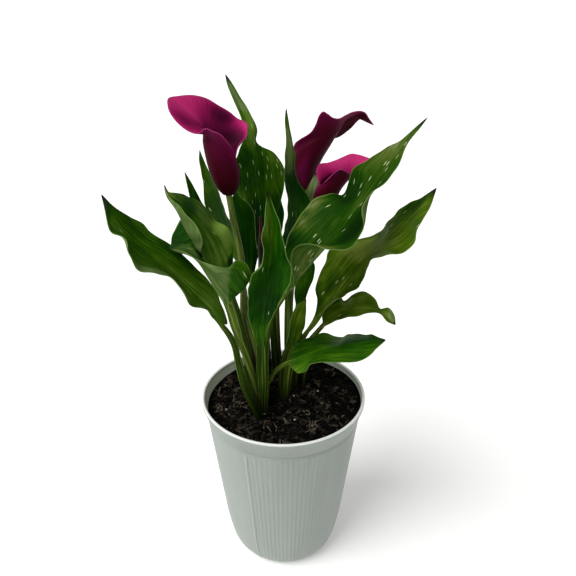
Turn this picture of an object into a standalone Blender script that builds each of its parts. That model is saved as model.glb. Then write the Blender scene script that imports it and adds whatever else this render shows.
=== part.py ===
"""Potted calla lily: ribbed nursery pot, bark soil, seventeen leaves, three open flowers and a closed bud.

The origin is the centre of the pot's flat underside, +Z is up and -Y is the side seen from the front.
Sizes below are millimetres, in the constants and in the lists of places, and become metres as a mesh is made.
"""
import math
import random

import bmesh
import bpy
import numpy as np
from mathutils import Matrix, Vector, noise

MM = 0.001
OBJECT_NAME = "potted_calla_lily"

# Pot
POT_HEIGHT = 172.0
RIM_RADIUS = 75.0
BASE_RADIUS = 42.0
LIP_HEIGHT = 4.0
LIP_WIDTH = 2.4
WALL = 1.6
FLARE_FOOT = (70.5, 155.0)
GROOVE_DEPTH = 0.7
WALL_TOP = (70.3, 151.0)
WALL_FOOT = (57.0, 40.0)
FOOT_CURVE = [(55.4, 31.0), (52.3, 15.5), (48.0, 6.0), (BASE_RADIUS, 0.0)]
LATHE_STEPS = 48
RIB_WIDTH = 1.8
RIB_PROUD = 0.5
RIB_PITCH_DEGREES = 3.8
RIBS_PER_PANEL = 16
PANEL_CENTRES_DEGREES = (-87.0, 33.0, 153.0)
DRAIN_HOLES = 6
DRAIN_RADIUS = 4.0
DRAIN_RING = 28.0

# Soil
SOIL_STEPS = 26
SOIL_EDGE = 162.5
SOIL_TILT = (3.0, 1.6)
SOIL_MOUND = 3.0
SOIL_ROUGHNESS = 1.8
SOIL_GAP = 0.4
CHIPS = 34
CHIP_SEED = 7
ROOT_HEIGHT = 149.0
HOLE_CLEARANCE = 0.45
HOLE_SIDES = 12

# Depth: the lists place each leaf near the plant's middle plane, and its places are then moved along the
# viewer's lines of sight, which spreads the plant to front and back and keeps its view from there
VIEWER = (0.0, -488.5, 520.4)
DEPTH_SPREAD = 0.75
SPREAD_FROM = 178.0
SPREAD_TO = 330.0

# Leaves and stems
BLADE = 0.8
RIDGE = 1.3
STALK_HALVES = (2.8, 3.2, 2.8, 2.1)
STALK_DEPTH = 2.3
NECK_DEPTH = 2.1
TIP_WIDTH = 0.9
STEM_ROOT = 2.7
STEM_TOP = 2.5
SEAT = 0.5

# Flowers
SPATHE = 1.0
OVERLAP_STEP = 1.7

# Each leaf: the root in the soil, then the stalk, the rib from the blade's foot to its tip, and its two edges.
# An edge with a second line is folded over: the first line is the fold and the second the true edge.
# A broad stalk has its own half widths, at its root, low down, high up and at its neck, for STALK_HALVES.
LEAVES = {
    "leaf_far_left": {
        "root": (-17, -26),
        "broad": (3.0, 4.8, 3.4, 2.2),
        "stalk": [(-24, -27, 179), (-31, -28, 199), (-37, -29, 223), (-41, -30, 242), (-46, -30, 253)],
        "rib": [(-50, -30, 259), (-61, -30, 278), (-76, -29, 295), (-90, -28, 310), (-104, -28, 323),
                (-118, -29, 336), (-128, -32, 351), (-131, -35, 367), (-133, -36, 374)],
        "left": [(-56, -33, 267), (-63, -39, 279), (-71, -44, 284), (-75, -45, 293), (-82, -43, 304),
                 (-95, -46, 313), (-108, -50, 319), (-115, -49, 331), (-118, -45, 340), (-129, -41, 347),
                 (-131, -38, 360)],
        "right": [(-46, -27, 259), (-52, -22, 279), (-61, -20, 296), (-76, -19, 314), (-88, -20, 327),
                  (-103, -22, 339), (-108, -22, 346), (-117, -24, 352), (-126, -30, 362)],
    },
    "leaf_upper_left": {
        "root": (-27, 0),
        "broad": (3.0, 3.4, 3.0, 2.4),
        "stalk": [(-28, -4, 191), (-32, -8, 228), (-37, -10, 255), (-42, -9, 273)],
        "rib": [(-46, -5, 284), (-51, -8, 304), (-57, -10, 325), (-64, -12, 342), (-72, -14, 355),
                (-80, -17, 363), (-86, -20, 369), (-89, -22, 377)],
        "left": [(-50, -8, 295), (-60, -13, 309), (-67, -19, 320), (-72, -24, 335), (-76, -25, 345),
                 (-80, -25, 355), (-85, -24, 363), (-88, -23, 369)],
        "left_fold": [(-53, -12, 292), (-60, -18, 307), (-65, -27, 323), (-62, -31, 336), (-63, -31, 343),
                      (-68, -30, 350), (-77, -28, 359), (-86, -25, 369)],
        "right": [(-43, -2, 292), (-42, 0, 310), (-42, 0, 325), (-45, 0, 334), (-57, 2, 341), (-64, 0, 352),
                  (-73, -6, 362), (-81, -12, 367), (-87, -19, 370)],
    },
    "leaf_trumpet": {
        "root": (-22, -7),
        "broad": (3.0, 4.6, 4.2, 3.0),
        "stalk": [(-25, -11, 188), (-29, -17, 210), (-36, -24, 239), (-41, -28, 259), (-43, -30, 271)],
        "rib": [(-46, -31, 282), (-53, -34, 296), (-59, -36, 309), (-65, -37, 320), (-71, -36, 325),
                (-79, -35, 327), (-88, -34, 330)],
        "left": [(-38, -31, 286), (-29, -33, 297), (-25, -34, 307), (-29, -34, 318), (-35, -37, 320),
                 (-40, -43, 317), (-51, -47, 319), (-59, -45, 322), (-67, -42, 326), (-75, -39, 329),
                 (-82, -36, 330)],
        "right": [(-47, -26, 288), (-56, -21, 296), (-66, -17, 306), (-73, -13, 319), (-76, -10, 334),
                  (-81, -8, 344), (-86, -10, 334), (-88, -18, 328)],
    },
    "leaf_left_back": {
        "root": (-29, 19),
        "stalk": [(-32, 21, 176), (-37, 20, 210), (-42, 18, 243), (-49, 16, 274)],
        "rib": [(-53, 14, 293), (-59, 12, 318), (-66, 11, 341), (-72, 11, 358), (-75, 11, 369), (-78, 11, 377)],
        "left": [(-59, 14, 301), (-67, 12, 320), (-73, 10, 339), (-75, 10, 354), (-77, 10, 368)],
        "right": [(-50, 18, 302), (-55, 17, 324), (-60, 16, 339), (-68, 14, 354), (-73, 12, 367)],
    },
    "leaf_left_tall": {
        "root": (-22, 18),
        "stalk": [(-25, 22, 185), (-28, 22, 210), (-32, 22, 241), (-35, 22, 271)],
        "rib": [(-38, 21, 292), (-43, 20, 315), (-49, 19, 338), (-57, 18, 360), (-63, 18, 378), (-66, 18, 393)],
        "left": [(-44, 23, 299), (-52, 24, 318), (-60, 24, 336), (-65, 22, 349), (-65, 20, 362),
                 (-66, 18, 377), (-67, 18, 385)],
        "right": [(-35, 17, 305), (-39, 16, 324), (-46, 15, 337), (-50, 15, 355), (-56, 16, 367),
                  (-60, 17, 377), (-64, 18, 387)],
    },
    "leaf_tall_back": {
        "root": (-15, 32),
        "broad": (3.8, 4.4, 3.8, 3.0),
        "stalk": [(-16, 33, 197), (-18, 31, 236), (-19, 29, 273)],
        "rib": [(-19, 27, 295), (-19, 25, 322), (-19, 23, 350), (-20, 24, 375), (-22, 26, 393), (-26, 27, 408),
                (-32, 28, 426), (-38, 29, 438), (-44, 30, 449)],
        "left": [(-23, 24, 311), (-24, 22, 331), (-27, 20, 345), (-34, 16, 354), (-38, 14, 361), (-39, 13, 372),
                 (-39, 14, 382), (-35, 18, 391), (-31, 22, 402), (-33, 26, 417), (-39, 27, 432), (-43, 29, 442)],
        "right": [(-15, 27, 307), (-9, 27, 326), (-3, 27, 344), (1, 28, 359), (1, 30, 375), (-7, 30, 387),
                  (-21, 29, 396), (-20, 29, 406), (-25, 29, 418), (-32, 30, 430), (-40, 30, 444)],
    },
    "leaf_left_inner": {
        "root": (-16, 11),
        "broad": (3.4, 3.8, 3.4, 3.0),
        "stalk": [(-19, 12, 185), (-22, 14, 203), (-26, 20, 237), (-27, 26, 264)],
        "rib": [(-28, 29, 281), (-28, 32, 301), (-29, 34, 319), (-32, 35, 335), (-34, 36, 348), (-36, 36, 358)],
        "left": [(-33, 30, 288), (-39, 31, 306), (-45, 33, 324), (-46, 35, 339), (-41, 36, 352)],
        "right": [(-23, 31, 290), (-18, 34, 309), (-17, 35, 328), (-22, 36, 342), (-30, 37, 354)],
    },
    "leaf_front": {
        "root": (-17, -18),
        "broad": (2.4, 4.6, 5.6, 4.6),
        "stalk": [(-18, -19, 178), (-18, -20, 194), (-18, -22, 211), (-18, -23, 224)],
        "rib": [(-18, -24, 236), (-18, -26, 253), (-15, -30, 279), (-13, -32, 302), (-10, -33, 324),
                (-9, -33, 345), (-10, -32, 362), (-11, -30, 374)],
        "left": [(-24, -26, 245), (-28, -32, 267), (-29, -36, 282), (-27, -40, 297), (-24, -41, 311),
                 (-18, -40, 319), (-15, -39, 329), (-16, -39, 338), (-14, -38, 350), (-13, -35, 361)],
        "right": [(-14, -26, 248), (-9, -32, 268), (-1, -38, 287), (6, -42, 306), (7, -43, 318), (3, -42, 331),
                  (0, -40, 342), (-3, -38, 354), (-7, -34, 364)],
    },
    "leaf_narrow_tall": {
        "root": (7, 28),
        "broad": (4.2, 5.2, 5.2, 3.6),
        "stalk": [(5, 27, 195), (5, 25, 235), (6, 24, 270)],
        "rib": [(8, 23, 293), (10, 22, 314), (11, 20, 337), (10, 19, 359), (7, 19, 380), (5, 20, 398),
                (4, 20, 412), (3, 20, 425)],
        "left": [(4, 21, 303), (0, 18, 316), (1, 15, 330), (4, 14, 343), (4, 14, 356), (1, 14, 367), (1, 14, 377),
                 (2, 15, 387), (3, 17, 401), (2, 19, 415)],
        "right": [(12, 26, 303), (19, 25, 320), (24, 24, 339), (22, 23, 351), (14, 21, 364), (9, 20, 374),
                  (10, 21, 387), (8, 21, 399), (5, 21, 414)],
    },
    "leaf_small_pale": {
        "root": (16, 33),
        "broad": (3.2, 3.4, 3.2, 2.4),
        "stalk": [(14, 30, 198), (16, 29, 237), (17, 29, 274)],
        "rib": [(18, 29, 298), (20, 29, 317), (22, 29, 335), (25, 28, 353), (28, 27, 372)],
        "left": [(15, 28, 308), (15, 28, 326), (16, 28, 342), (21, 27, 359)],
        "right": [(22, 29, 306), (26, 29, 325), (29, 29, 343), (30, 28, 361)],
    },
    "leaf_big_right": {
        "root": (-14, -8),
        "broad": (3.0, 4.0, 3.2, 2.6),
        "stalk": [(-17, -10, 193), (-15, -11, 214), (-14, -13, 233), (-11, -14, 254), (-5, -15, 269)],
        "rib": [(2, -15, 281), (12, -15, 296), (23, -15, 310), (32, -15, 321), (44, -15, 336), (59, -15, 358),
                (72, -16, 377), (83, -17, 394), (92, -18, 411), (99, -19, 419), (105, -20, 426)],
        "left": [(1, -8, 289), (1, -2, 304), (3, 0, 319), (7, 1, 330), (12, 1, 340), (17, 2, 348), (25, 4, 356),
                 (37, 6, 359), (47, 4, 359), (51, 2, 366), (53, 0, 378), (57, -3, 385), (65, -6, 390),
                 (77, -10, 401), (89, -15, 409), (98, -18, 419)],
        "right": [(9, -22, 290), (7, -28, 307), (7, -32, 323), (13, -34, 332), (24, -36, 333), (36, -37, 330),
                  (47, -36, 328), (56, -34, 332), (62, -30, 345), (60, -26, 361), (68, -24, 370), (80, -24, 380),
                  (87, -22, 394), (92, -20, 407), (100, -20, 418)],
    },
    "leaf_right": {
        "root": (9, 18),
        "broad": (3.2, 3.8, 3.2, 2.4),
        "stalk": [(12, 17, 187), (13, 16, 202), (16, 14, 217)],
        "rib": [(21, 13, 227), (31, 11, 246), (42, 8, 263), (53, 5, 283), (66, 2, 305), (82, -2, 323),
                (100, -7, 345), (110, -12, 360), (118, -16, 372)],
        "left": [(24, 15, 234), (29, 14, 247), (31, 15, 259), (29, 16, 269), (30, 16, 279), (33, 16, 287),
                 (38, 16, 298), (41, 15, 309), (51, 14, 315), (68, 12, 319), (81, 10, 324), (86, 6, 336), (96, 0, 350),
                 (108, -8, 361)],
        "right": [(29, 9, 237), (41, 3, 261), (54, -2, 274), (65, -5, 282), (69, -8, 296), (71, -12, 309),
                  (84, -17, 315), (97, -20, 320), (103, -21, 328), (107, -20, 341), (113, -18, 353)],
    },
    "leaf_low_right": {
        "root": (17, 26),
        "broad": (3.0, 3.0, 2.4, 2.1),
        "stalk": [(20, 18, 186), (20, 15, 205), (24, 11, 220), (30, 10, 229)],
        "rib": [(36, 10, 237), (49, 8, 247), (63, 5, 257), (75, 1, 260), (84, -3, 257), (90, -6, 255),
                (97, -8, 247)],
        "left": [(35, 14, 244), (39, 17, 252), (45, 18, 258), (49, 18, 262), (54, 18, 257), (61, 16, 264),
                 (71, 13, 269), (79, 7, 265), (84, 1, 258), (91, -3, 261), (96, -6, 255)],
        "right": [(42, 6, 241), (54, 1, 248), (67, -3, 254), (76, -6, 258), (83, -8, 257), (89, -9, 251)],
    },
    "leaf_bottom_right": {
        "root": (-14, 1),
        "broad": (3.0, 3.4, 2.4, 2.1),
        "stalk": [(-15, -2, 180), (-11, -7, 193), (-7, -10, 202), (-1, -13, 209)],
        "rib": [(4, -15, 214), (17, -18, 222), (33, -21, 230), (51, -25, 237), (69, -29, 243), (85, -33, 247)],
        "left": [(6, -10, 218), (11, -4, 224), (19, 2, 227), (35, 4, 231), (47, -1, 230), (53, -4, 231),
                 (57, -5, 236), (68, -14, 241), (78, -25, 245)],
        "right": [(6, -19, 212), (13, -24, 209), (19, -28, 213), (24, -31, 223), (39, -37, 227), (55, -41, 230),
                  (67, -42, 234), (77, -39, 242)],
    },
    "leaf_behind_right": {
        "root": (2, 10),
        "broad": (3.8, 5.2, 4.8, 3.2),
        "stalk": [(5, 12, 193), (9, 12, 220), (12, 12, 243)],
        "rib": [(14, 12, 256), (17, 11, 274), (20, 10, 291), (21, 9, 308)],
        "left": [(10, 10, 270), (12, 9, 287), (15, 9, 299)],
        "right": [(20, 14, 263), (25, 14, 277), (27, 12, 294)],
    },
    "leaf_sheath_right": {
        "root": (1, 0),
        "broad": (2.8, 5.6, 7.2, 5.8),
        "stalk": [(1, 0, 176), (2, 0, 194), (4, 1, 208)],
        "rib": [(7, 1, 220), (11, 2, 237), (15, 3, 251), (20, 4, 266)],
        "left": [(4, 0, 230), (6, 0, 246), (11, 2, 259)],
        "right": [(13, 3, 224), (18, 5, 237), (20, 5, 251)],
    },
    "leaf_folded_back": {
        "root": (-4, 35),
        "broad": (4.2, 5.0, 4.8, 3.6),
        "stalk": [(-7, 37, 195), (-8, 38, 232), (-8, 39, 268)],
        "rib": [(-8, 40, 289), (-7, 41, 308), (-6, 41, 323), (-5, 41, 336), (-4, 41, 350)],
        "left": [(-11, 39, 303), (-12, 39, 320), (-11, 39, 333), (-9, 39, 343)],
        "right": [(-3, 39, 303), (0, 39, 320), (1, 39, 333), (-1, 39, 343)],
    },
}

# Each flower: its stem from the soil, then the spathe's tube as rings (x, y, z, radius, lean in degrees towards
# the tongue), then its rim as (angle in degrees, how far up the tube that part follows it, x, y, z). Angle 0 is
# the tongue, and positive angles turn to the viewer's side. Both ends of the rim run on round and overlap.
FLOWERS = {
    "left": {
        "root": (-21, 3),
        "stem": [(-25, 3, 187), (-29, 3, 213), (-33, 3, 233), (-35, 3, 256), (-34, 3, 281), (-34, 3, 299),
                 (-36, 3, 317), (-40, 2, 340)],
        "rings": [(-42.9, 0, 362.8, 3.5, 0), (-43.4, 0, 366.5, 6.3, 0), (-44.6, 0, 373.8, 9, 0),
                  (-45.8, 0, 381.8, 10.2, 0), (-47.2, 0, 389, 10.6, 0), (-48.5, 0, 397.5, 10.3, 0),
                  (-49.9, 0, 406, 10, 0), (-50.3, 0, 414.3, 9.7, 0)],
        "tongue": (-1, 0, 0),
        "inner_end": [(-200, 19), (-182, 24)],
        "outer_end": [(165, 20), (182, 14), (200, 8)],
        "rim": [(-165, 29, -33, 2, 402), (-150, 31, -28, 6, 406), (-130, 34, -27, 12, 412),
                (-112, 39, -28, 16, 415), (-95, 43, -35, 18, 418), (-78, 45, -41, 18, 423),
                (-60, 48, -49, 17, 428), (-44, 50, -58, 14, 434), (-28, 52, -68, 10, 437),
                (-14, 52, -78, 6, 437), (0, 52, -85, 2, 436), (12, 52, -85, -3, 431), (24, 52, -83, -7, 427),
                (36, 52, -79, -10, 422), (48, 52, -74, -13, 418), (60, 50, -68, -16, 415),
                (72, 48, -62, -17, 414), (84, 46, -56, -18, 418), (98, 43, -51, -18, 416),
                (112, 39, -46, -18, 414), (128, 34, -41, -16, 408), (145, 28, -37, -11, 400)],
    },
    "right": {
        "root": (5, 40),
        "stem": [(6, 39, 194), (7, 38, 248), (12, 38, 298), (17, 38, 331)],
        "rings": [(19.5, 38, 355.6, 3.5, 0), (19.3, 38, 359.2, 5.5, 0), (19.2, 38, 366.6, 7.2, 0),
                  (19.7, 38, 375.2, 9.5, 5), (21.8, 38, 383.6, 10.9, 10), (25.2, 38, 392, 11.4, 22),
                  (30.8, 38, 399.4, 10.5, 38), (38.8, 38, 408.3, 9.9, 52), (50.1, 38, 414, 7.4, 62),
                  (61.3, 38, 417.5, 4.4, 65)],
        "tongue": (1, 0, 0),
        "inner_end": [(-200, 21), (-180, 25)],
        "outer_end": [(184, 20), (200, 12)],
        "rim": [(-150, 30, 16, 47, 394), (-135, 31, 20, 50, 397), (-120, 32, 24, 51, 399),
                (-105, 33, 28, 51, 400), (-90, 34, 33, 51, 399), (-75, 36, 38, 51, 397), (-60, 38, 44, 50, 395),
                (-52, 44, 49, 49, 397), (-44, 50, 54, 48, 401), (-36, 57, 58, 46, 405), (-28, 62, 61, 45, 409),
                (-20, 67, 65, 43, 412), (-10, 72, 70, 41, 413), (0, 76, 75, 38, 408), (10, 76, 70, 36, 415),
                (22, 74, 63, 34, 419), (36, 72, 56, 31, 420),
                (48, 68, 50, 28, 418), (60, 64, 45, 26, 416), (72, 60, 40, 25, 417), (84, 56, 36, 24, 420),
                (96, 52, 32, 24, 422), (108, 48, 29, 23, 419), (120, 44, 27, 23, 413), (130, 40, 24, 24, 407),
                (142, 36, 20, 26, 403), (156, 32, 14, 28, 399), (170, 28, 10, 33, 394)],
    },
    "low": {
        "root": (15, 40),
        "stem": [(14, 41, 204), (15, 41, 223), (18, 40, 241), (20, 38, 258), (23, 34, 278), (26, 28, 303),
                 (30, 22, 325)],
        "rings": [(32.3, 18, 344.2, 3.5, 0), (32.8, 18, 347.3, 5, 5), (34.2, 18, 352, 7.2, 12),
                  (36.6, 18, 358, 8.1, 20), (39.3, 18, 364.4, 8.4, 28), (43, 18, 370.3, 8.5, 38),
                  (48.2, 18, 375.2, 7.8, 50)],
        "tongue": (1, 0, 0),
        "inner_end": [(-200, 12), (-184, 15)],
        "outer_end": [(165, 13), (182, 9), (200, 4)],
        "rim": [(-168, 18, 29, 20, 368), (-155, 20, 28, 22, 372), (-140, 22, 28, 24, 376),
                (-124, 26, 31, 28, 379), (-108, 29, 37, 31, 379), (-90, 32, 44, 32, 381), (-74, 34, 50, 31, 384),
                (-58, 36, 56, 29, 387), (-42, 37, 62, 26, 387), (-28, 37, 68, 22, 386), (-14, 37, 72, 18, 385),
                (0, 37, 74, 14, 382), (16, 37, 68, 10, 379), (34, 37, 61, 7, 377), (52, 37, 54, 5, 377),
                (70, 36, 49, 4, 380), (88, 33, 45, 4, 381), (105, 28, 41, 5, 378), (125, 23, 37, 7, 373),
                (145, 18, 33, 10, 368)],
    },
}

BUD_ROOT = (-12, 21)
BUD_STEM = [(-16, 17, 185), (-16, 15, 229), (-17, 12, 266), (-17, 10, 288)]
BUD_LINE = [(-18, 9, 296), (-18, 9, 311), (-18, 9, 326), (-19, 9, 341)]
BUD_RADII = [1.8, 2.8, 2.5, 1.4, 0.6]
BUD_STEM_ROOT = 2.1


def clear_scene():
    for old in list(bpy.data.objects):
        bpy.data.objects.remove(old, do_unlink=True)


def new_collection(name):
    collection = bpy.data.collections.new(name)
    bpy.context.scene.collection.children.link(collection)
    return collection


def plain_material(name, colour, roughness):
    material = bpy.data.materials.new(name)
    material.use_nodes = True
    shader = material.node_tree.nodes["Principled BSDF"]
    shader.inputs["Base Color"].default_value = (*colour, 1.0)
    shader.inputs["Roughness"].default_value = roughness
    shader.inputs["Metallic"].default_value = 0.0
    return material


def unit(vectors):
    length = np.linalg.norm(vectors, axis=-1, keepdims=True)
    return vectors / np.maximum(length, 1e-9)


def smooth_curve(places, fractions):
    """Points at fractions of the length of a smooth curve through the places; further columns ride along."""
    places = np.array(places, float)
    steps = np.sqrt(np.maximum(np.linalg.norm(np.diff(places[:, :3], axis=0), axis=1), 1e-6))
    slopes = np.diff(places, axis=0) / steps[:, None]
    before, after = steps[:-1, None], steps[1:, None]
    inner = (slopes[:-1] * after + slopes[1:] * before) / (before + after)
    tangents = np.vstack([slopes[:1], inner, slopes[-1:]])
    dense = []
    for i, step in enumerate(steps):
        u = np.linspace(0.0, 1.0, 17)[:, None]
        dense.append((2 * u**3 - 3 * u**2 + 1) * places[i] + (u**3 - 2 * u**2 + u) * step * tangents[i]
                     + (3 * u**2 - 2 * u**3) * places[i + 1] + (u**3 - u**2) * step * tangents[i + 1])
    dense = np.vstack(dense)
    run = np.concatenate([[0.0], np.cumsum(np.linalg.norm(np.diff(dense[:, :3], axis=0), axis=1))])
    wanted = np.asarray(fractions, float) * run[-1]
    return np.stack([np.interp(wanted, run, dense[:, k]) for k in range(dense.shape[1])], axis=1)


def spread_factor(y, z):
    """How much further from the viewer a place goes: nothing at the soil, the full spread among the blades."""
    rise = min(max((z - SPREAD_FROM) / (SPREAD_TO - SPREAD_FROM), 0.0), 1.0)
    rise = rise * rise * (3 - 2 * rise)
    return (y * (1 + DEPTH_SPREAD * rise) - VIEWER[1]) / (y - VIEWER[1])


def from_viewer(places, factor=None):
    """The places moved along their lines of sight, each by its own factor or all by the one given."""
    moved = []
    for place in places:
        scale = spread_factor(place[1], place[2]) if factor is None else factor
        moved.append([eye + (part - eye) * scale for part, eye in zip(place, VIEWER)])
    return moved


def spread_leaf(leaf):
    lines = ("stalk", "rib", "left", "right", "left_fold")
    return {**leaf, **{key: from_viewer(leaf[key]) for key in lines if key in leaf}}


def spread_flower(flower):
    """The tube and rim keep their form, moved as one, and the stem follows."""
    middle = flower["rings"][len(flower["rings"]) // 2]
    factor = spread_factor(middle[1], middle[2])
    rings = [(*from_viewer([ring[:3]], factor)[0], ring[3] * factor, ring[4]) for ring in flower["rings"]]
    rim = [(angle, height * factor, *from_viewer([(x, y, z)], factor)[0])
           for angle, height, x, y, z in flower["rim"]]
    return {**flower, "rings": rings, "rim": rim, "stem": from_viewer(flower["stem"])}


def mesh_object(name, mesh, material, collection):
    piece = bpy.data.objects.new(name, mesh)
    mesh.materials.append(material)
    collection.objects.link(piece)
    return piece


def sheet_mesh(name, middle, up, over, under):
    """A closed thin body: a grid of points with its thickness over and under, split alike on both faces."""
    rows, columns = middle.shape[:2]
    top = middle + up * over[..., None]
    bottom = middle - up * under[..., None]
    points = np.concatenate([top.reshape(-1, 3), bottom.reshape(-1, 3)]) * MM

    def t(i, j):
        return i * columns + j

    def b(i, j):
        return rows * columns + i * columns + j

    faces = []
    for i in range(rows - 1):
        for j in range(columns - 1):
            faces += [(t(i, j), t(i, j + 1), t(i + 1, j + 1)), (t(i, j), t(i + 1, j + 1), t(i + 1, j))]
            faces += [(b(i, j), b(i + 1, j + 1), b(i, j + 1)), (b(i, j), b(i + 1, j), b(i + 1, j + 1))]
        faces += [(t(i, 0), t(i + 1, 0), b(i + 1, 0)), (t(i, 0), b(i + 1, 0), b(i, 0))]
        last = columns - 1
        faces += [(t(i, last), b(i + 1, last), t(i + 1, last)), (t(i, last), b(i, last), b(i + 1, last))]
    for j in range(columns - 1):
        faces += [(t(0, j), b(0, j), b(0, j + 1)), (t(0, j), b(0, j + 1), t(0, j + 1))]
        end = rows - 1
        faces += [(t(end, j), b(end, j + 1), b(end, j)), (t(end, j), t(end, j + 1), b(end, j + 1))]
    mesh = bpy.data.meshes.new(name)
    mesh.from_pydata(points.tolist(), [], faces)
    shell = bmesh.new()
    shell.from_mesh(mesh)
    bmesh.ops.recalc_face_normals(shell, faces=shell.faces)
    shell.to_mesh(mesh)
    shell.free()
    mesh.shade_smooth()
    return mesh


def grid_normals(middle):
    along = np.gradient(middle, axis=0)
    across = np.gradient(middle, axis=1)
    return unit(np.cross(across, along))


def stalk_frame(leaf, rows):
    """Centre, sideways and upward directions along a leaf's stalk, from its root to the blade's foot."""
    rib_points = np.array(leaf["rib"], float)
    forward = unit(rib_points[1] - rib_points[0])
    side = np.array(leaf["right"][0], float) - np.array(leaf["left"][0], float)
    side = unit(side - forward * (side @ forward))
    places = [(*leaf["root"], ROOT_HEIGHT), *leaf["stalk"], rib_points[0]]
    centre = smooth_curve(places, np.linspace(0.0, 1.0, rows))
    travel = unit(np.gradient(centre, axis=0))
    travel[-1] = forward
    sides = np.zeros_like(centre)
    for i in reversed(range(rows)):
        side = unit(side - travel[i] * (side @ travel[i]))
        sides[i] = side
    return centre, sides, unit(np.cross(sides, travel))


def stalk_sizes(leaf, rows):
    """Half width and half depth along a stalk, which broadens above the root and narrows to a neck."""
    share = np.linspace(0.0, 1.0, rows)
    width = np.interp(share, [0.0, 0.3, 0.7, 1.0], leaf.get("broad", STALK_HALVES))
    return width, np.interp(share, [0.0, 0.6, 1.0], [STALK_DEPTH, STALK_DEPTH, NECK_DEPTH])


def leaf_grid(leaf, wide, stalk_rows, blade_rows):
    """Middle surface, upward direction and the two half thicknesses of one leaf, stalk and blade in one sheet."""
    foot, tip = np.array(leaf["rib"][0], float), np.array(leaf["rib"][-1], float)
    angles = np.radians(np.interp(wide, [-1.0, 0.0, 1.0], [166.0, 90.0, 14.0]))
    centre, sides, ups = stalk_frame(leaf, stalk_rows)
    across, deep = stalk_sizes(leaf, stalk_rows)
    stalk_middle = centre[:, None] + sides[:, None] * (across[:, None] * np.cos(angles))[..., None]
    stalk_half = deep[:, None] * np.sin(angles)
    stalk_up = np.repeat(ups[:, None], len(wide), axis=1)

    along = np.linspace(0.0, 1.0, blade_rows)
    end_side = np.array(leaf["right"][-1], float) - np.array(leaf["left"][-1], float)
    end_side = unit(end_side)

    def edge(points, sign):
        ends = [foot + sign * sides[-1] * across[-1], tip + sign * end_side * TIP_WIDTH / 2]
        return smooth_curve([ends[0], *points, ends[1]], along)

    rib = smooth_curve(leaf["rib"], along)
    left, right = edge(leaf["left"], -1), edge(leaf["right"], 1)
    trough = ((left + right) / 2 - rib) * (1.0 - leaf.get("crease", 0.5))
    blade = np.zeros((blade_rows, len(wide), 3))
    for j, place in enumerate(wide):
        reach = abs(place)
        margin = left if place < 0 else right
        blade[:, j] = rib + reach * (margin - rib) - reach * (1 - reach) * trough
    if "left_fold" in leaf:
        fold = edge(leaf["left_fold"], -1)
        for i in range(blade_rows):
            halves = -wide[wide <= 0][::-1]
            blade[i, wide <= 0] = smooth_curve([rib[i], left[i], fold[i]], halves)[::-1]
    up = grid_normals(blade)
    width = np.linalg.norm(right - left, axis=1)
    near_rib = np.exp(-((np.abs(wide)[None] * width[:, None] / 2) / 2.5) ** 2)
    over = np.full(blade.shape[:2], BLADE / 2)
    under = BLADE / 2 + RIDGE * (1 - along[:, None]) ** 1.3 * near_rib

    settle = np.clip(along / 0.12, 0.0, 1.0)[:, None]
    settle = settle * settle * (3 - 2 * settle)
    neck_half = stalk_half[-1][None]
    over = neck_half * (1 - settle) + over * settle
    under = neck_half * (1 - settle) + under * settle
    up = unit(stalk_up[-1][None] * (1 - settle[..., None]) + up * settle[..., None])
    blade[0] = stalk_middle[-1]

    middle = np.concatenate([stalk_middle[:-1], blade])
    return (middle, np.concatenate([stalk_up[:-1], up]),
            np.concatenate([stalk_half[:-1], over]), np.concatenate([stalk_half[:-1], under]))


WIDE_PLAIN = np.array([-1.0, -0.62, -0.22, 0.0, 0.22, 0.62, 1.0])
WIDE_FOLDED = np.array([-1.0, -0.84, -0.68, -0.52, -0.3, -0.12, 0.0, 0.22, 0.62, 1.0])
WIDE_NARROW = np.array([-1.0, -0.45, 0.0, 0.45, 1.0])
SMALL_LEAVES = ("leaf_left_back", "leaf_small_pale", "leaf_behind_right", "leaf_sheath_right", "leaf_folded_back")


def make_leaf(name, leaf, material, collection):
    small = name in SMALL_LEAVES
    wide = WIDE_FOLDED if "left_fold" in leaf else WIDE_NARROW if small else WIDE_PLAIN
    grid = leaf_grid(leaf, wide, 5, 8 if small else 13)
    return mesh_object(name, sheet_mesh(name, *grid), material, collection)


def tube_place(flower, height, angle):
    """The point on a flower's tube at a height along it and an angle round it, with the overlap's slow spiral."""
    rings = np.array(flower["rings"], float)
    heights = np.concatenate([[0.0], np.cumsum(np.linalg.norm(np.diff(rings[:, :3], axis=0), axis=1))])
    fine = smooth_curve(rings, np.linspace(0.0, 1.0, 80))
    x, y, z, radius, lean = (np.interp(height, np.linspace(0.0, heights[-1], 80), fine[:, k]) for k in range(5))
    tongue = np.array(flower["tongue"], float)
    lean, turn = math.radians(lean), math.radians(angle)
    towards = tongue * math.cos(lean) - np.array([0.0, 0.0, math.sin(lean)])
    outward = towards * math.cos(turn) - np.array([0.0, math.sin(turn), 0.0])
    spiral = OVERLAP_STEP * (angle + 200.0) / 400.0
    return np.array([x, y, z]) + outward * (radius + spiral)


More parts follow.
